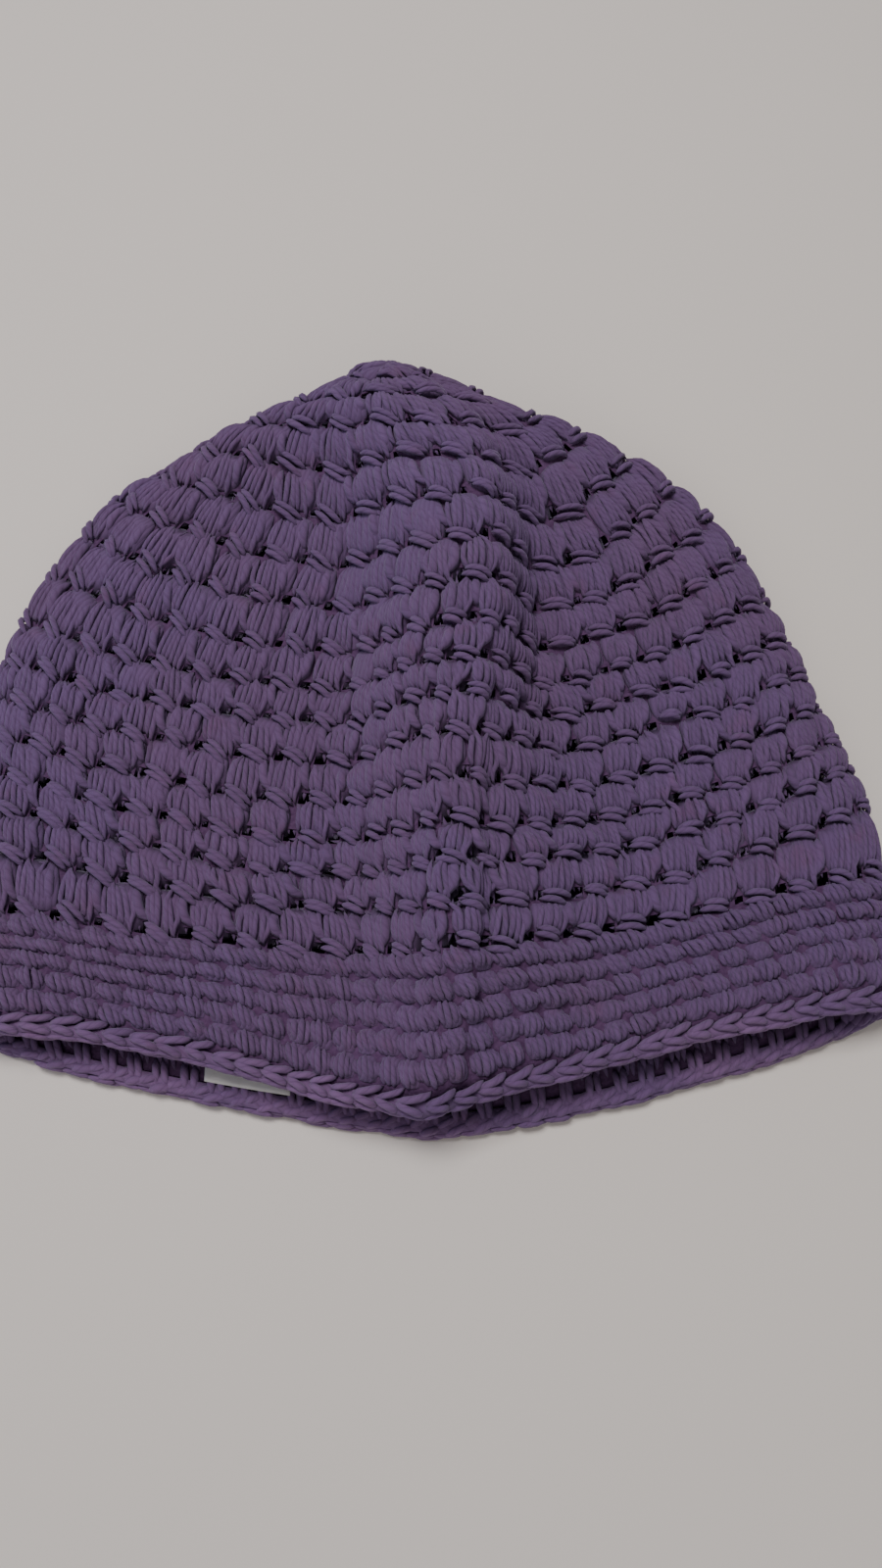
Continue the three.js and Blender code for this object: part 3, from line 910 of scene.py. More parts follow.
@dataclass(frozen=True)
class PuffPlan:
    """The soft body under a stitch's strands, in shares of its cell.

    middle and half are its place and half size, lean is how far its lower end is shifted, top
    and base are the heights of its middle and its edge in millimetres, and swell is what the
    left half of the hat adds to the top. narrowing draws its corners in.
    """

    middle: tuple[float, float]
    half: tuple[float, float]
    lean: float
    top: float
    base: float = -2.9
    grid: int = 6
    swell: float = 0.0
    narrowing: float = 0.34

    def outline(self) -> tuple[np.ndarray, np.ndarray, np.ndarray]:
        """Works out the body's grid, which narrows toward its corners.

        Returns:
            x and y in shares of the cell, and the height from 0 at the edge to 1 in the middle.
        """
        line = np.sin(np.linspace(-np.pi / 2, np.pi / 2, self.grid + 1))
        v, u = (grid.ravel() for grid in np.meshgrid(line, line, indexing="ij"))
        dome = np.sqrt(np.clip((1 - u**4) * (1 - v**4), 0, 1))
        wide = self.half[0] * u * np.sqrt(1 - self.narrowing * v**2)
        x = self.middle[0] + wide + self.lean * v / 2
        y = self.middle[1] + self.half[1] * v * np.sqrt(1 - self.narrowing * u**2)
        return x, y, dome


@dataclass
class PuffLayer:
    """Lays a soft body out in every cell of some rounds, as one mesh.

    sway, rise and shade are how much a body's place, height and tone vary, edge_shade is the
    painted shade that its edge takes from its tone where it meets the next body, dip is what an
    opening takes from the height beside it, and opening_shade is the painted shade that an
    opening takes from the tone beside it.
    strand, run and stagger are the width, length and shift of the yarn on its flat map.
    """

    hat: HatSurface
    plan: PuffPlan
    seed: int = SEED
    floor: float = 0.25
    wave: float = 0.45
    sway: float = 0.03
    rise: float = 0.12
    shade: float = 0.15
    edge_shade: float = 0.9
    dip: float = 2.4
    opening_shade: float = 1.6
    strand: float = 3.0
    run: float = 1.6
    stagger: float = 0.37

    def build(
        self,
        name: str,
        rounds: tuple[Round, ...],
        material: bpy.types.Material,
        eyelets: Eyelets | None = None,
    ) -> bpy.types.Object:
        """Builds the bodies.

        Args:
            name: The piece's name.
            rounds: The rounds to fill.
            material: The bodies' yarn.
            eyelets: The openings that the bodies dip away from.

        Returns:
            The piece.
        """
        rng, plan = np.random.default_rng(self.seed), self.plan
        x, y, dome = plan.outline()
        quads, edge = grid_faces(plan.grid, plan.grid)
        body = quads + [tuple(edge)]
        points, faces, tones, maps, first = [], [], [], [], 0
        for row in rounds:
            each, cells = (row.count, 1), np.arange(row.count)[:, None]
            shift = rng.normal(0, self.sway, (*each, 2))
            a = row.share(cells + x[None] + shift[..., 0])
            s = wander(row.along(a, y[None] + shift[..., 1]), a, self.wave)
            s = np.clip(s, TIP_START, self.hat.meridian)
            high = plan.top - plan.base + rng.normal(0, self.rise, each)
            height = plan.base + (high + plan.swell * leftness(a)) * dome
            spots = self.hat.place(s, a, height)
            # Random tone, less painted shade toward the body's edge where it meets the next body.
            tone = rng.normal(0.5, self.shade, each) - self.edge_shade * (1 - dome[None]) ** 2
            if eyelets is not None:
                near = eyelets.near(spots)
                spots = self.hat.place(s, a, height - self.dip * near)
                # Painted shade on the body beside an opening.
                tone = tone - self.opening_shade * near
            spots[..., 2] = np.maximum(spots[..., 2], self.floor)
            points.append(spots.reshape(-1, 3))
            tones.append(np.broadcast_to(tone, spots.shape[:2]).ravel())
            across = (x[None] + cells * self.stagger) * row.cell(self.hat) / self.strand
            down = np.broadcast_to(y * self.run, across.shape)
            maps.append(np.stack((across, down), axis=2).reshape(-1, 2))
            for _ in range(row.count):
                faces += [tuple(first + k for k in face) for face in body]
                first += (plan.grid + 1) ** 2
        mesh = smooth_mesh(name, np.concatenate(points), faces, material)
        write_numbers(mesh, "tone", np.concatenate(tones))
        write_map(mesh, np.concatenate(maps))
        return put(name, mesh)


@dataclass(frozen=True)
class Unevenness:
    """How much hand work varies, as the spread of what is drawn at random.

    sway is a stitch's place in its cell, slant its lean, size its size and puff its height in
    millimetres. strand, turn and girth are each strand's own place, turn and thickness, and tone
    its dye. wave is how far a round wanders, in millimetres.
    """

    sway: float = 0.04
    slant: float = 0.08
    size: float = 0.07
    puff: float = 0.30
    strand: float = 0.022
    turn: float = 0.026
    girth: float = 0.06
    tone: float = 0.2
    wave: float = 0.45


@dataclass
class StitchLayer:
    """Lays a stitch's strands out over rounds of the hat, with a fixed unevenness.

    lean is how a stitch slants about its pivot and lean_turn how that changes round the hat. full
    is the width of a stitch whose yarn has its full thickness, middle is where stitches grow
    from, and taper is the share of the thickness beside a strand's ends. deepen is the
    painted shade that yarn lying more than deep millimetres below the face takes from its tone.
    tilt_left slants the cross strands on the left half, and press lowers them where the face bends
    tightly, by press_most at most.
    """

    hat: HatSurface
    plan: tuple[StrandPlan, ...]
    uneven: Unevenness = Unevenness()
    steps: int = 8
    lean: float = 0.06
    lean_turn: float = 0.17
    full: float = 10.4
    middle: float = 0.55
    pivot: float = 0.9
    taper: float = 0.7
    seed: int = SEED
    floor: float = 0.15
    eyelets: Eyelets | None = None
    deepen: float = 0.9
    deep: float = 1.3
    tilt_left: float = 0.22
    press: float = 8.0
    press_most: float = 2.0

    def lay(self, rounds: tuple[Round, ...]) -> Strands:
        """Lays the stitch out in every cell of the rounds.

        Args:
            rounds: The rounds to fill.

        Returns:
            The strands.
        """
        rng, uneven, strands = np.random.default_rng(self.seed), self.uneven, Strands()
        arch = np.sin(np.linspace(0, np.pi, self.steps))[None]
        along = np.linspace(-1, 1, self.steps)[None, :, None]
        taper = np.array([0.0, self.taper] + [1.0] * (self.steps - 4) + [self.taper, 0.0])
        for row in rounds:
            each, cells = (row.count, 1), np.arange(row.count)[:, None]
            fit = min(1.0, (row.cell(self.hat) / self.full) ** 0.5)
            shift = rng.normal(0, uneven.sway, (*each, 2))
            slant = rng.normal(self.lean, uneven.slant, each)
            grow = rng.normal(1, uneven.size, (*each, 2))
            puff = rng.normal(0, uneven.puff, each)
            for plan in self.plan:
                path = plan.path(self.steps)[None]
                own = rng.normal(0, uneven.strand, (*each, 2))
                turn = rng.normal(0, uneven.turn, (*each, 2))
                xy = (path[..., :2] - self.middle) * grow + self.middle
                xy = xy + shift + own + turn * along
                rough = row.share(cells + xy[..., 0])
                if not plan.parts:
                    xy[..., 1] += self.tilt_left * leftness(rough) * (xy[..., 0] - self.middle)
                drift = slant - self.lean_turn * np.sin(2 * np.pi * rough)
                a = row.share(cells + xy[..., 0] + drift * (xy[..., 1] - self.pivot))
                s = wander(row.along(a, xy[..., 1]), a, uneven.wave)
                s = np.clip(s, TIP_START, self.hat.meridian)
                lift = path[..., 2] + puff * arch
                if not plan.parts:
                    lift = lift - np.clip(self.press * self.hat.bend(s, a), 0, self.press_most)
                radius = plan.radius * fit * rng.normal(1, uneven.girth, each)
                points = self.hat.place(s, a, lift)
                if self.eyelets is not None and plan.parts:
                    points = self.eyelets.part(points, radius[:, 0])
                lowest = np.broadcast_to(radius + self.floor, points.shape[:2])
                points[..., 2] = np.maximum(points[..., 2], lowest)
                tone = np.clip(rng.normal(0.5, uneven.tone, each), 0, 1)
                # Painted shade on yarn that lies deep below the face.
                tone = tone - np.clip((-self.deep - lift) / self.deep, 0, 1) * self.deepen
                strands.add(points, radius * taper[None, :], tone)
        return strands


# Finishes


def rgb(red: float, green: float, blue: float) -> tuple[float, float, float, float]:
    """A colour of linear light with full cover."""
    return (red, green, blue, 1.0)


def yarn_grain() -> bpy.types.NodeTree:
    """Builds the group that gives yarn its plies, fibres, dye and painted shade.

    Returns:
        A shader node group with inputs for the dye's colours, the painted groove shade and the
        twist, and outputs for colour, height and roughness.
    """
    group = bpy.data.node_groups.new("yarn_grain", "ShaderNodeTree")
    face = group.interface
    for label, kind, value in (
        ("Dye", "NodeSocketColor", rgb(0.25, 0.19, 0.36)),
        ("Groove shade", "NodeSocketColor", rgb(0.09, 0.05, 0.15)),
        ("Fleck", "NodeSocketColor", rgb(0.27, 0.12, 0.27)),
        ("Cool dye", "NodeSocketColor", rgb(0.22, 0.21, 0.44)),
        ("Plies", "NodeSocketFloat", 2.0),
        ("Twist length", "NodeSocketFloat", 5.0),
        ("Fuzz", "NodeSocketFloat", 0.5),
    ):
        face.new_socket(label, in_out="INPUT", socket_type=kind).default_value = value
    for label, kind in (
        ("Colour", "NodeSocketColor"),
        ("Height", "NodeSocketFloat"),
        ("Roughness", "NodeSocketFloat"),
    ):
        face.new_socket(label, in_out="OUTPUT", socket_type=kind)
    draw = Nodes(group)
    given = draw.add("NodeGroupInput").outputs
    around, along = draw.map_place()
    tone = draw.add("ShaderNodeAttribute", attribute_name="tone").outputs["Fac"]

    # The plies wind round the strand.
    angle = draw.maths("ADD", around, draw.maths("DIVIDE", along, given["Twist length"]))
    wave = draw.maths("MULTIPLY", draw.maths("MULTIPLY", angle, given["Plies"]), 2 * math.pi)
    ply = draw.maths("MULTIPLY_ADD", draw.maths("COSINE", wave), 0.5, 0.5)
    ply = draw.maths("POWER", ply, 0.55)

    # Fibres follow the plies, drawn out along the strand.
    lay = draw.maths("MULTIPLY", angle, 2 * math.pi)
    spot = draw.out(
        "ShaderNodeCombineXYZ",
        {
            0: draw.maths("MULTIPLY", draw.maths("COSINE", lay), 2.6),
            1: draw.maths("MULTIPLY", draw.maths("SINE", lay), 2.6),
            2: draw.maths("MULTIPLY", along, 0.16),
        },
    )
    fibre = draw.noise(spot, 3.4, 3.0, 0.62)

    # The dye varies over the hat, painted shade darkens deep yarn, body edges, openings and ply
    # grooves, and fuzz stands on every strand.
    place = draw.object_place()
    broad = draw.noise(place, 22.0, 2.0)
    patch = draw.noise(place, 95.0, 2.0, 0.55)
    fluff = draw.noise(place, 2600.0, 2.0, 0.7)
    body = draw.blend(draw.spread(broad, 0.42, 0.62), given["Dye"], given["Cool dye"])
    body = draw.blend(draw.spread(patch, 0.60, 0.74, 0.0, 0.4), body, given["Fleck"])
    # The tone attribute's part from 0 to 1 varies the dye at random; below 0 it is painted shade,
    # darkening the yarn down to 0.22.
    tone_and_painted_shade = draw.spread(tone, 0.0, 1.0, 0.88, 1.10)
    tone_and_painted_shade = draw.maths("MULTIPLY", tone_and_painted_shade, draw.spread(tone, -1.0, 0.0, 0.22, 1.0))
    streak = draw.spread(fibre, 0.3, 0.7, 0.84, 1.14)
    body = draw.blend(1.0, body, draw.maths("MULTIPLY", tone_and_painted_shade, streak), "MULTIPLY")
    # The grooves between the plies are painted toward the darker groove colour: painted shade.
    colour = draw.blend(draw.spread(ply, 0.0, 0.55, 0.30, 0.0), body, given["Groove shade"])

    height = draw.maths("MULTIPLY_ADD", fibre, 0.35, draw.maths("MULTIPLY", ply, 0.65))
    fuzz = draw.maths("MULTIPLY", draw.maths("MULTIPLY", fluff, given["Fuzz"]), 0.25)
    rough = draw.spread(fibre, 0.3, 0.7, 0.92, 0.78)
    height = draw.maths("ADD", height, fuzz)
    draw.add("NodeGroupOutput", {"Colour": colour, "Height": height, "Roughness": rough})
    return group


@dataclass(frozen=True)
class YarnFinish:
    """Dyed cotton yarn: its colours in linear light, with the painted shade of its ply grooves, its
    twist and its fuzz.
    """

    name: str
    dye: tuple = rgb(0.138, 0.077, 0.170)
    # Painted shade colour for the grooves between the plies.
    deep: tuple = rgb(0.060, 0.027, 0.075)
    fleck: tuple = rgb(0.150, 0.066, 0.146)
    cool: tuple = rgb(0.135, 0.079, 0.182)
    plies: float = 2.0
    twist: float = 6.0
    fuzz: float = 0.5
    depth: float = 0.00022
    gloss: float = 0.12
    sheen: float = 0.22
    sheen_tint: tuple = rgb(0.78, 0.72, 0.95)

    def material(self, grain: bpy.types.NodeTree) -> bpy.types.Material:
        """Makes the material.

        Args:
            grain: The yarn_grain group.

        Returns:
            The material.
        """
        made, draw = empty_material(self.name)
        yarn = draw.add(
            "ShaderNodeGroup",
            {
                "Dye": self.dye,
                "Groove shade": self.deep,
                "Fleck": self.fleck,
                "Cool dye": self.cool,
                "Plies": self.plies,
                "Twist length": self.twist,
                "Fuzz": self.fuzz,
            },
            node_tree=grain,
        ).outputs
        draw.surface(
            {
                "Base Color": yarn["Colour"],
                "Roughness": yarn["Roughness"],
                "Normal": draw.bump(yarn["Height"], self.depth, 0.9),
                "Specular IOR Level": self.gloss,
                "Sheen Weight": self.sheen,
                "Sheen Roughness": 0.6,
                "Sheen Tint": self.sheen_tint,
            }
        )
        return made


@dataclass(frozen=True)
class GroundFinish:
    """The yarn that shows between the stitches, coloured much darker than the stitches as painted
    shade.
    """

    name: str
    # Both colours are darker than the yarn's dye: painted shade in the gaps between the stitches.
    colour: tuple = rgb(0.075, 0.036, 0.090)
    light: tuple = rgb(0.120, 0.062, 0.140)

    def material(self) -> bpy.types.Material:
        """Makes the material."""
        made, draw = empty_material(self.name)
        grain = draw.noise(draw.object_place(), 900.0, 3.0)
        draw.surface(
            {
                "Base Color": draw.blend(draw.spread(grain, 0.3, 0.7), self.colour, self.light),
                "Roughness": draw.spread(grain, 0.3, 0.7, 0.95, 0.85),
                "Normal": draw.bump(grain, 0.0004, 0.8),
                "Specular IOR Level": 0.1,
            }
        )
        return made


@dataclass(frozen=True)
class RibbonFinish:
    """White woven tape with a fine cross weave, its thread sizes in millimetres."""

    name: str = "woven_tape"
    white: tuple = rgb(0.72, 0.70, 0.68)
    shade: tuple = rgb(0.50, 0.48, 0.47)
    warp: float = 0.42
    weft: float = 0.55

    def material(self) -> bpy.types.Material:
        """Makes the material."""
        made, draw = empty_material(self.name)
        across, down = draw.map_place()
        warp = draw.maths("SINE", draw.maths("MULTIPLY", across, 2 * math.pi / self.warp))
        weft = draw.maths("SINE", draw.maths("MULTIPLY", down, 2 * math.pi / self.weft))
        weave = draw.maths("MULTIPLY_ADD", draw.maths("MULTIPLY", warp, weft), 0.5, 0.5)
        wear = draw.noise(draw.object_place(), 260.0, 3.0)
        # The low parts of the weave, between the threads, are painted toward the shade colour as
        # painted shade; the wear noise darkens random patches.
        gaps = draw.maths("MULTIPLY", draw.spread(weave, 0.0, 0.6, 1.0, 0.0), 0.6)
        colour = draw.blend(gaps, self.white, self.shade)
        colour = draw.blend(draw.spread(wear, 0.45, 0.75, 0.0, 0.3), colour, self.shade)
        draw.surface(
            {
                "Base Color": colour,
                "Roughness": draw.spread(weave, 0.0, 1.0, 0.7, 0.5),
                "Normal": draw.bump(weave, 0.00012, 0.6),
                "Sheen Weight": 0.2,
            }
        )
        return made


# Pieces


class Slot(Enum):
    """The record's material slots."""

    CROWN = "crown_yarn"
    BAND = "band_yarn"
    EDGING = "edging_yarn"
    LABEL = "label_cloth"


def attach(piece: bpy.types.Object, node: str | None = None) -> None:
    """Rides a piece on the hat's one body and reports it.

    Args:
        piece: The finished piece.
        node: The node that it stands for, where it is that node's main piece.
    """
    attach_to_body(piece, "root")
    if node:
        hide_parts(node)
    piece.data.calc_loop_triangles()
    LOG.info("%s: %d triangles", piece.name, len(piece.data.loop_triangles))


@dataclass
class GroundSheet:
    """A closed sheet that follows the hat inside its stitches.

    span is the distances from the tip that it runs between, out the height of its outer side,
    pitch the size of its faces and table_gap what its inner side keeps from the table. Its
    openings are cut to the share opening of an eyelet's radius.
    """

    hat: HatSurface
    span: tuple[float, float]
    out: float
    thickness: float
    pitch: float = 2.2
    table_gap: float = 0.35
    opening: float = 0.85

    def _grid(self, eyelets: Eyelets | None) -> tuple[np.ndarray, np.ndarray, np.ndarray]:
        """Lays the grid out and opens the cell that each eyelet lies in.

        Args:
            eyelets: The openings, where there are any.

        Returns:
            The points' distances from the tip, their shares round, and the cells that are kept.
        """
        (start, end), hat = self.span, self.hat
        rows = max(2, round((end - start) / self.pitch) + 1)
        cols = 2 * round(hat.length(end) / self.pitch / 2)
        turns = np.arange(cols) / cols
        s, a = np.meshgrid(np.linspace(start, end, rows), turns, indexing="ij")
        keep = np.ones((rows - 1, cols), bool)
        if eyelets is not None:
            at, turn = eyelets.spots[:, 0], np.mod(eyelets.spots[:, 1], 1.0)
            steps = np.floor((at - start) / (end - start) * (rows - 1))
            i = np.clip(steps, 0, rows - 2).astype(int)
            j = np.floor(turn * cols).astype(int) % cols
            keep[i, j] = False
            reach = self.opening * eyelets.radii
            around = reach / np.interp(at, hat.at, hat.lengths)
            for di, dj in ((0, 0), (0, 1), (1, 0), (1, 1)):
                s[i + di, (j + dj) % cols] = at + (2 * di - 1) * reach
                a[i + di, (j + dj) % cols] = turn + (2 * dj - 1) * around
        return s, a, keep

    @staticmethod
    def _faces(keep: np.ndarray) -> list[list[int]]:
        """Joins both sides of the kept cells, and closes every edge between them.

        Args:
            keep: The cells that are kept.

        Returns:
            The faces, as indices of the outer side's points and then the inner side's.
        """
        rows, cols = keep.shape
        base, faces = (rows + 1) * cols, []
        for i, j in zip(*np.nonzero(keep)):
            here, below = int(i) * cols, (int(i) + 1) * cols
            left, right = int(j), (int(j) + 1) % cols
            ring = (here + left, below + left, below + right, here + right)
            faces.append(list(ring))
            faces.append([base + k for k in (ring[0], ring[3], ring[2], ring[1])])
            for di, dj, p, q in ((-1, 0, 3, 0), (1, 0, 1, 2), (0, -1, 0, 1), (0, 1, 2, 3)):
                if 0 <= i + di < rows and keep[i + di, (j + dj) % cols]:
                    continue
                faces.append([base + ring[p], base + ring[q], ring[q], ring[p]])
        return faces

    def build(
        self, name: str, material: bpy.types.Material, eyelets: Eyelets | None = None
    ) -> bpy.types.Object:
        """Builds the sheet.

        Args:
            name: The piece's name.
            material: Its finish.
            eyelets: The openings in it.

        Returns:
            The piece.
        """
        s, a, keep = self._grid(eyelets)
        sides = []
        for height in (self.out, self.out - self.thickness):
            points = self.hat.place(s, a, np.full(s.shape, height))
            points[..., 2] = np.maximum(points[..., 2], self.table_gap - height)
            sides.append(points.reshape(-1, 3))
        mesh = smooth_mesh(name, np.concatenate(sides), self._faces(keep), material)
        mesh.validate()
        return put(name, mesh)


# The dome's rounds from the tip: the joint below each, left and right, its stitches, shift and gather.
CROWN_ROUNDS = (
    (10.9, 10.9, 6, -0.10, 0.0),
    (21.8, 21.8, 10, -0.70, 0.0),
    (32.7, 32.7, 16, -0.20, 0.0),
    (43.6, 43.6, 22, -0.40, 0.0),
    (54.5, 54.5, 27, -0.75, 0.0),
    (65.2, 65.2, 32, -0.17, 0.0),
    (76.4, 76.2, 36, -0.57, 0.2),
    (88.7, 87.0, 41, -0.05, 0.4),
    (101.5, 98.2, 43, -0.72, 0.7),
    (112.0, 109.0, 44, -0.10, 0.4),
    (122.0, 118.2, 45, -0.62, 0.3),
    (132.4, 128.2, 45, -0.35, 0.5),
    (142.0, 138.0, 45, -1.05, 0.7),
    (150.8, 147.0, 45, -0.88, 1.0),
    (160.8, 158.8, 45, -0.39, 0.75),
    (173.4, 173.2, 45, -1.05, 0.6),
)


@dataclass
class YarnPart:
    """A part of the hat that is worked in yarn."""

    slot: ClassVar[Slot]
    hat: HatSurface
    sweep: YarnSweep
    yarn: bpy.types.Material

    def work(
        self, name: str, layer: StitchLayer, rounds: tuple[Round, ...], sides: int = 6
    ) -> None:
        """Works rounds of one stitch as a piece.

        Args:
            name: The piece's name.
            layer: The stitch.
            rounds: The rounds to fill.
            sides: Sides of a strand.
        """
        attach(self.sweep.make(name, layer.lay(rounds), self.yarn, sides))


@dataclass
class Crown(YarnPart):
    """The dome: sixteen rounds of bean stitches, each bound by a pair of cross strands."""

    slot: ClassVar[Slot] = Slot.CROWN
    ground: bpy.types.Material
    bean: tuple[StrandPlan, ...] = (
        StrandPlan((0.34, 0.02), (0.28, 0.86), -0.85, -2.4, 0.78, (-0.02, 0.0)),
        StrandPlan((0.45, -0.03), (0.40, 0.90), -0.50, -2.3, 0.80),
        StrandPlan((0.56, -0.05), (0.52, 0.93), -0.34, -2.2, 0.80, (0.02, 0.0)),
        StrandPlan((0.66, -0.05), (0.70, 0.95), -0.32, -2.2, 0.80, (0.01, 0.0)),
        StrandPlan((0.76, -0.01), (0.85, 0.99), -0.48, -2.3, 0.80, (0.02, 0.0)),
        StrandPlan((0.86, 0.05), (1.00, 1.05), -0.80, -2.4, 0.78, (0.04, 0.0)),
        StrandPlan((1.03, 0.02), (1.14, 0.80), -0.95, -2.7, 1.30, (-0.02, 0.0)),
        StrandPlan((0.24, 0.79), (0.92, 1.04), 0.12, -2.0, 0.92, (0.0, -0.06), False),
        StrandPlan((0.20, 0.94), (0.86, 1.20), 0.02, -2.0, 0.92, (0.0, -0.06), False),
    )
    body: PuffPlan = PuffPlan((0.66, 0.44), (0.50, 0.52), 0.12, -0.85, swell=0.25)
    back: tuple[StrandPlan, ...] = (
        StrandPlan((0.08, 0.00), (0.14, 0.86), -4.25, -2.9, 0.95),
        StrandPlan((0.30, -0.05), (0.32, 0.88), -4.45, -2.9, 0.95),
        StrandPlan((0.52, -0.05), (0.56, 0.88), -4.45, -2.9, 0.95),
        StrandPlan((0.74, 0.00), (0.82, 0.94), -4.25, -2.9, 0.95),
        StrandPlan((0.16, 0.97), (0.99, 1.02), -4.40, -2.9, 0.95),
    )
    eyelet: tuple[float, float] = (0.13, 0.88)
    eyelet_radii: tuple[tuple[int, float], ...] = ((0, 1.0), (3, 1.4), (11, 1.6), (14, 1.95))
    crest_growth: float = 0.5
    crest_width: float = 0.02
    ground_span: tuple[float, float] = (TIP_START, 174.4)

    def rounds(self) -> tuple[Round, ...]:
        """The rounds from the tip to the band."""
        rounds, above = [], Line(0.0, 0.0)
        for left, right, count, phase, gather in CROWN_ROUNDS:
            below = Line(left, right)
            rounds.append(Round(above, below, count, phase, gather))
            above = below
        return tuple(rounds)

    def eyelets(self, rounds: tuple[Round, ...]) -> Eyelets:
        """Places the openings, one at the lower left of each stitch, widest along the crest.

        Args:
            rounds: The dome's rounds.

        Returns:
            The openings.
        """
        places, radii, rng = [], [], np.random.default_rng(SEED + 9)
        for i, row in enumerate(rounds[1:]):
            a = row.share(np.arange(row.count) + self.eyelet[0])
            places.append(np.stack((row.along(a, np.array(self.eyelet[1])), a), axis=1))
            usual = np.interp(i, *zip(*self.eyelet_radii))
            on_crest = np.exp(-(((a - np.round(a)) / self.crest_width) ** 2)) * (i > 4)
            chance = np.clip(rng.normal(1, 0.16, row.count), 0.65, 1.35)
            radii.append(usual * (1 + self.crest_growth * on_crest) * chance)
        spots = np.concatenate(places)
        low, high = (
            self.hat.place(spots[:, 0], spots[:, 1], np.full(len(spots), height))
            for height in (-1.3, -0.3)
        )
        return Eyelets(spots, low, high - low, np.concatenate(radii))

    def build(self) -> None:
        """Builds the beans, their bodies, their backs and the ground between them."""
        rounds = self.rounds()
        eyelets = self.eyelets(rounds)
        front = StitchLayer(self.hat, self.bean, eyelets=eyelets)
        self.work("crown_beans_tip", front, rounds[:9])
        self.work("crown_beans_middle", front, rounds[9:13])
        self.work("crown_beans_rim", front, rounds[13:])
        bodies = PuffLayer(self.hat, self.body, seed=SEED + 7)
        attach(bodies.build("crown_bodies", rounds, self.yarn, eyelets))
        inside = StitchLayer(self.hat, self.back, steps=6, seed=SEED + 1, deepen=0.0)
        self.work("crown_backs", inside, rounds, sides=5)
        ground = GroundSheet(self.hat, self.ground_span, out=-2.6, thickness=0.7)
        attach(ground.build("crown_ground", self.ground, eyelets), "crown")


@dataclass
class Band(YarnPart):
    """The band: five rounds of short leaning stitches along the mouth."""

    slot: ClassVar[Slot] = Slot.BAND
    ground: bpy.types.Material
    start: float = 173.6
    pitch: float = 7.2
    count: int = 75
    phases: tuple[float, ...] = (-0.1, -0.55, 0.0, -0.45, -0.9)
    leaning: tuple[StrandPlan, ...] = (
        StrandPlan((0.00, 0.14), (0.32, 0.82), -1.05, -2.8, 0.90, (-0.06, 0.0)),
        StrandPlan((0.14, -0.02), (0.54, 0.98), -0.30, -2.7, 0.94, (-0.05, 0.0)),
        StrandPlan((0.31, -0.10), (0.76, 1.06), 0.25, -2.7, 0.98, (0.01, 0.0)),
        StrandPlan((0.49, -0.04), (0.95, 1.00), -0.20, -2.7, 0.94, (0.08, 0.0)),
        StrandPlan((0.67, 0.10), (1.06, 0.84), -0.95, -2.8, 0.90, (0.08, 0.0)),
    )
    body: PuffPlan = PuffPlan((0.53, 0.48), (0.50, 0.57), 0.50, -0.55, -3.0, 5)
    back: tuple[StrandPlan, ...] = (
        StrandPlan((0.24, -0.05), (0.26, 1.02), -4.35, -3.2, 0.95),
        StrandPlan((0.48, -0.05), (0.52, 1.02), -4.50, -3.2, 0.95),
        StrandPlan((0.72, -0.05), (0.78, 1.02), -4.35, -3.2, 0.95),
    )
    gather: float = 0.8

    def rounds(self) -> tuple[Round, ...]:
        """The rounds from the dome to the edging."""
        lines = [self.start + i * self.pitch for i in range(len(self.phases) + 1)]
        return tuple(
            Round(Line(a, a), Line(b, b), self.count, phase, self.gather)
            for a, b, phase in zip(lines, lines[1:], self.phases)
        )

    def build(self) -> None:
        """Builds the stitches, their bodies, their backs and the ground between them."""
        rounds = self.rounds()
        hand = Unevenness(sway=0.05, wave=0.4)
        front = StitchLayer(self.hat, self.leaning, hand, lean=0.12, deepen=1.2, seed=SEED + 2)
        self.work("band_stitches", front, rounds)
        bodies = PuffLayer(self.hat, self.body, wave=0.3, seed=SEED + 8)
        attach(bodies.build("band_bodies", rounds, self.yarn))
        inside = StitchLayer(
            self.hat, self.back, steps=6, seed=SEED + 3, lean_turn=0.0, deepen=0.0
        )
        self.work("band_backs", inside, rounds, sides=5)
        span = (self.start, BAND_END)
        ground = GroundSheet(self.hat, span, out=-1.9, thickness=1.2, pitch=2.4)
        attach(ground.build("band_ground", self.ground), "band")


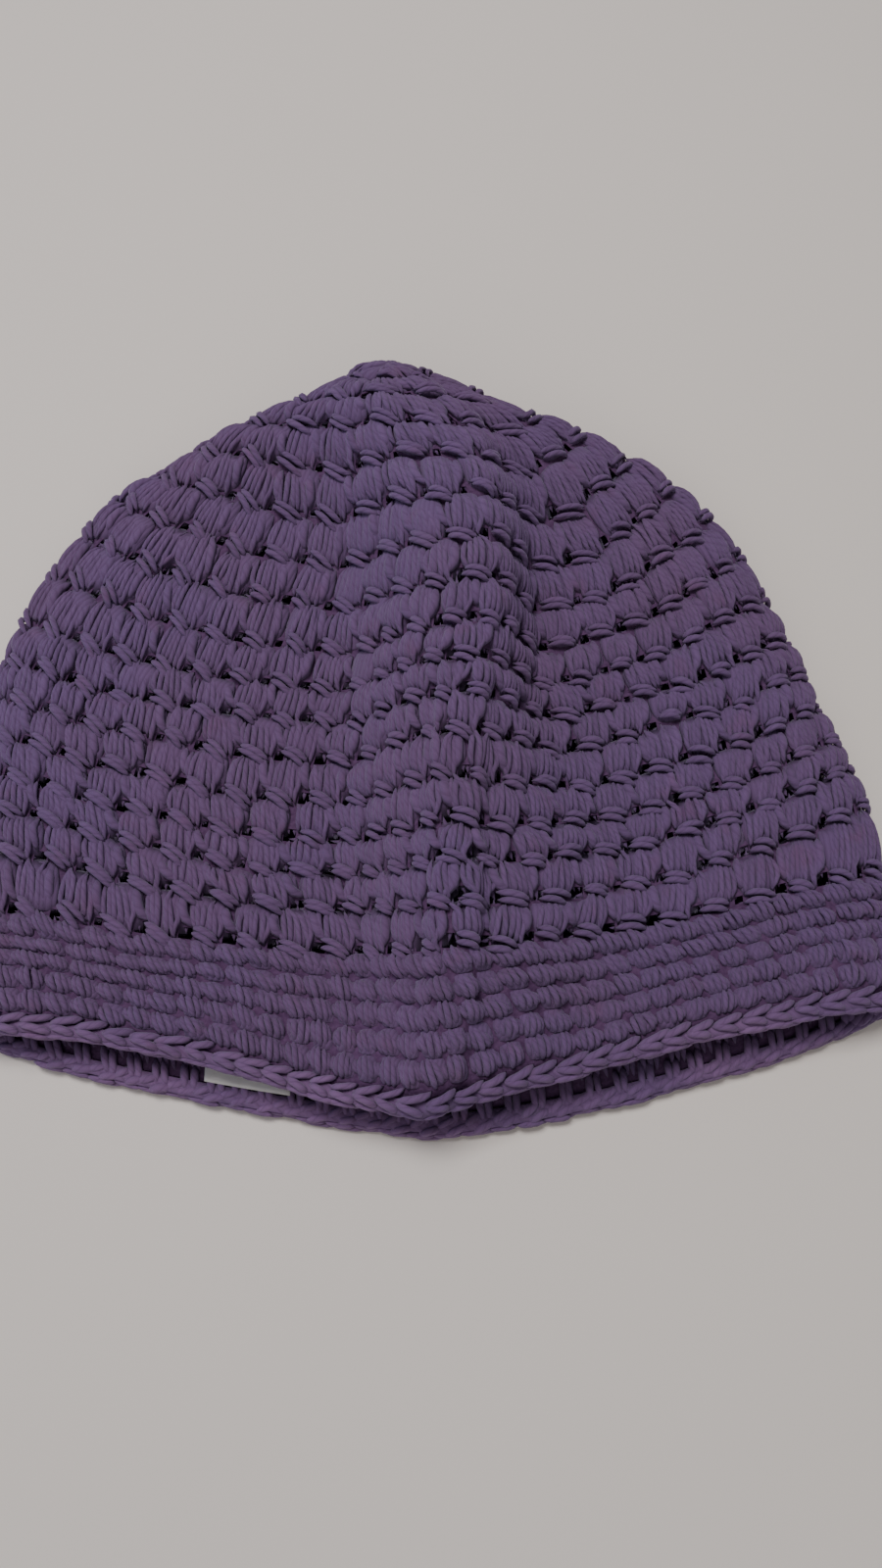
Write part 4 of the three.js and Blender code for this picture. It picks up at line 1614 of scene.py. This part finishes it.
@dataclass
class RimEdging(YarnPart):
    """The chain of slanting legs that finishes the mouth, and the roll behind it."""

    slot: ClassVar[Slot] = Slot.EDGING
    start: float = 209.6
    width: float = 6.6
    count: int = 75
    phase: float = -0.3
    gather: float = 0.8
    legs: tuple[StrandPlan, ...] = (
        StrandPlan((0.00, 0.46), (1.18, 0.06), 0.35, -1.9, 1.20, (0.0, 0.03)),
        StrandPlan((0.00, 0.52), (1.18, 0.86), 0.15, -1.9, 1.20, (0.0, -0.03)),
    )
    roll: tuple[StrandPlan, ...] = (
        StrandPlan((0.00, 0.92), (1.30, 0.98), -1.75, -2.3, 1.05),
        StrandPlan((0.40, 0.98), (1.60, 0.92), -3.10, -3.3, 1.10),
        StrandPlan((0.10, 0.66), (1.10, 0.92), -4.20, -3.4, 1.35),
        StrandPlan((0.50, 0.40), (1.40, 0.76), -4.50, -3.4, 1.35),
        StrandPlan((0.20, -0.35), (0.36, 0.75), -4.55, -3.4, 1.25),
        StrandPlan((0.50, -0.35), (0.66, 0.75), -4.65, -3.4, 1.25),
    )
    core_span: tuple[float, float] = (211.9, 215.6)
    core_map: tuple[float, float] = (8.0, 1.0)
    core_tone: float = 0.3

    def build(self) -> None:
        """Builds the chain, the roll behind it and the core that both lie on."""
        above, below = (Line(s, s) for s in (self.start, self.start + self.width))
        row = (Round(above, below, self.count, self.phase, self.gather),)
        hand = Unevenness(sway=0.03, wave=0.15, puff=0.15)
        still = {"uneven": hand, "lean": 0.0, "lean_turn": 0.0}
        chain = StitchLayer(self.hat, self.legs, steps=9, seed=SEED + 4, **still)
        self.work("edging_chain", chain, row)
        roll = StitchLayer(self.hat, self.roll, seed=SEED + 5, deepen=0.0, **still)
        self.work("edging_roll", roll, row)
        sheet = GroundSheet(self.hat, self.core_span, out=-1.0, thickness=3.2, pitch=2.3)
        core = sheet.build("edging_core", self.yarn)
        spots = np.array([point.co for point in core.data.vertices]) / MM
        write_map(core.data, spots[:, :2] / self.core_map)
        write_numbers(core.data, "tone", np.full(len(spots), self.core_tone))
        attach(core, "rim_edging")


@dataclass
class Label:
    """The small bare tape sewn inside the mouth, lying on the lower layer."""

    hat: HatSurface
    finish: bpy.types.Material
    width: float = 22.5
    depth: float = 12.0
    centre: float = -46.5
    front: float = BAND_END
    thickness: float = 0.55
    above: float = 0.45
    ripple: float = 0.12
    columns: int = 30
    rows: int = 14

    def _side(self, top: bool) -> np.ndarray:
        """One side of the tape, rippled a little and with its upper edge pressed down.

        Args:
            top: Whether it is the upper side.

        Returns:
            Its points, rows by columns by 3, in millimetres.
        """
        u = np.arange(self.columns + 1) / self.columns
        lines = []
        for v in np.arange(self.rows + 1) / self.rows:
            s = self.front - self.depth * (1 - v)
            above = self.above + (self.thickness if top else 0.0)
            line = self.hat.lining(s, self.centre + self.width * (u - 0.5), above)
            line[:, 2] += self.ripple * np.sin(7 * u) * math.sin(4 * v + 1)
            rim = np.minimum(np.minimum(u, 1 - u), min(v, 1 - v))
            line[:, 2] -= np.where(rim < 0.04, self.ripple, 0.0) * top
            lines.append(line)
        return np.array(lines)

    def build(self) -> None:
        """Builds the tape along the mouth, on the lower layer's inner face."""
        sides = np.array([self._side(True), self._side(False)])
        base = sides[0].size // 3
        quads, edge = grid_faces(self.rows, self.columns)
        faces = quads + [tuple(base + k for k in (p, s, r, q)) for p, q, r, s in quads]
        faces += [(p, q, base + q, base + p) for p, q in zip(edge, edge[1:] + edge[:1])]
        mesh = smooth_mesh("label_tape", sides.reshape(-1, 3), faces, self.finish)
        v, u = np.meshgrid(
            np.linspace(0, self.depth, self.rows + 1),
            np.linspace(0, self.width, self.columns + 1),
            indexing="ij",
        )
        write_map(mesh, np.tile(np.stack((u, v), axis=-1).reshape(-1, 2), (2, 1)))
        mesh.validate()
        tape = put("label_tape", mesh)
        attach(tape, "label")


# Studio


@dataclass(frozen=True)
class Lamp:
    """A soft square light that faces the hat: its place, side, watts and colour."""

    name: str
    place: tuple[float, float, float]
    size: float
    watts: float
    colour: tuple[float, float, float]

    def build(self) -> None:
        """Builds the light."""
        data = bpy.data.lights.new(self.name, "AREA")
        data.size, data.energy, data.color = self.size, self.watts, self.colour
        light = put(self.name, data)
        light.location = self.place
        light.rotation_euler = (-Vector(self.place)).to_track_quat("-Z", "Y").to_euler()


@dataclass
class Studio:
    """A pale table, soft daylight from the left and the camera at the photograph's angle."""

    camera_at: tuple[float, float, float] = (0.00413, -0.12160, 0.330)
    tilt: float = 18.0
    lens: float = 27.81
    sensor: float = 36.0
    table_half: float = 3.0
    table_light: tuple = rgb(0.82, 0.765, 0.70)
    table_dark: tuple = rgb(0.79, 0.735, 0.67)
    sky: tuple = rgb(0.95, 0.95, 1.0)
    sky_strength: float = 0.17
    lamps: tuple[Lamp, ...] = (
        Lamp("ceiling", (-0.22, 0.34, 1.20), 0.45, 11.1, (1.0, 0.96, 0.97)),
        Lamp("window", (-1.2, 0.10, 0.40), 0.6, 1.4, (0.36, 0.52, 1.0)),
        Lamp("room", (-0.2, -1.1, 0.85), 0.9, 3.4, (1.0, 0.96, 0.93)),
    )

    def build(self) -> None:
        """Builds the table, the lights, the world and the camera."""
        self._table()
        for lamp in self.lamps:
            lamp.build()
        world = bpy.data.worlds.new("room")
        world.use_nodes = True
        back = world.node_tree.nodes["Background"]
        back.inputs["Color"].default_value = self.sky
        back.inputs["Strength"].default_value = self.sky_strength
        bpy.context.scene.world = world
        data = bpy.data.cameras.new("camera")
        data.lens, data.sensor_width = self.lens, self.sensor
        data.clip_start, data.clip_end = 0.01, 20.0
        camera = put("camera", data)
        camera.location = self.camera_at
        camera.rotation_euler = Euler((math.radians(self.tilt), 0.0, 0.0))
        bpy.context.scene.camera = camera

    def _table(self) -> None:
        """Builds the pale table top."""
        made, draw = empty_material("pale_table")
        cloud = draw.noise(draw.object_place(), 5.0, 4.0)
        draw.surface(
            {
                "Base Color": draw.blend(cloud, self.table_dark, self.table_light),
                "Roughness": draw.spread(cloud, 0.3, 0.7, 0.55, 0.65),
                "Specular IOR Level": 0.3,
            }
        )
        half, mesh = self.table_half, bpy.data.meshes.new("table")
        corners = [(-half, -half, 0), (half, -half, 0), (half, half, 0), (-half, half, 0)]
        mesh.from_pydata(corners, [], [(0, 1, 2, 3)])
        mesh.materials.append(made)
        put("table", mesh)


def main() -> None:
    """Builds the studio and every piece of the hat, in order."""
    logging.basicConfig(level=logging.INFO, format="%(name)s: %(message)s")
    Studio().build()
    hat = HatSurface()
    sweep = YarnSweep()
    grain = yarn_grain()
    crown_yarn = YarnFinish("crown_yarn").material(grain)
    band_yarn = YarnFinish("band_yarn", twist=5.0).material(grain)
    # The edging's dye is painted lighter than the crown's same yarn: painted light for the rim, which
    # lies in shade.
    edging_yarn = YarnFinish("edging_yarn", rgb(0.188, 0.104, 0.222), twist=7.0).material(grain)
    ground = GroundFinish("painted_shade_ground").material()
    Crown(hat, sweep, crown_yarn, ground).build()
    Band(hat, sweep, band_yarn, ground).build()
    RimEdging(hat, sweep, edging_yarn).build()
    Label(hat, RibbonFinish().material()).build()


if __name__ == "__main__":
    main()
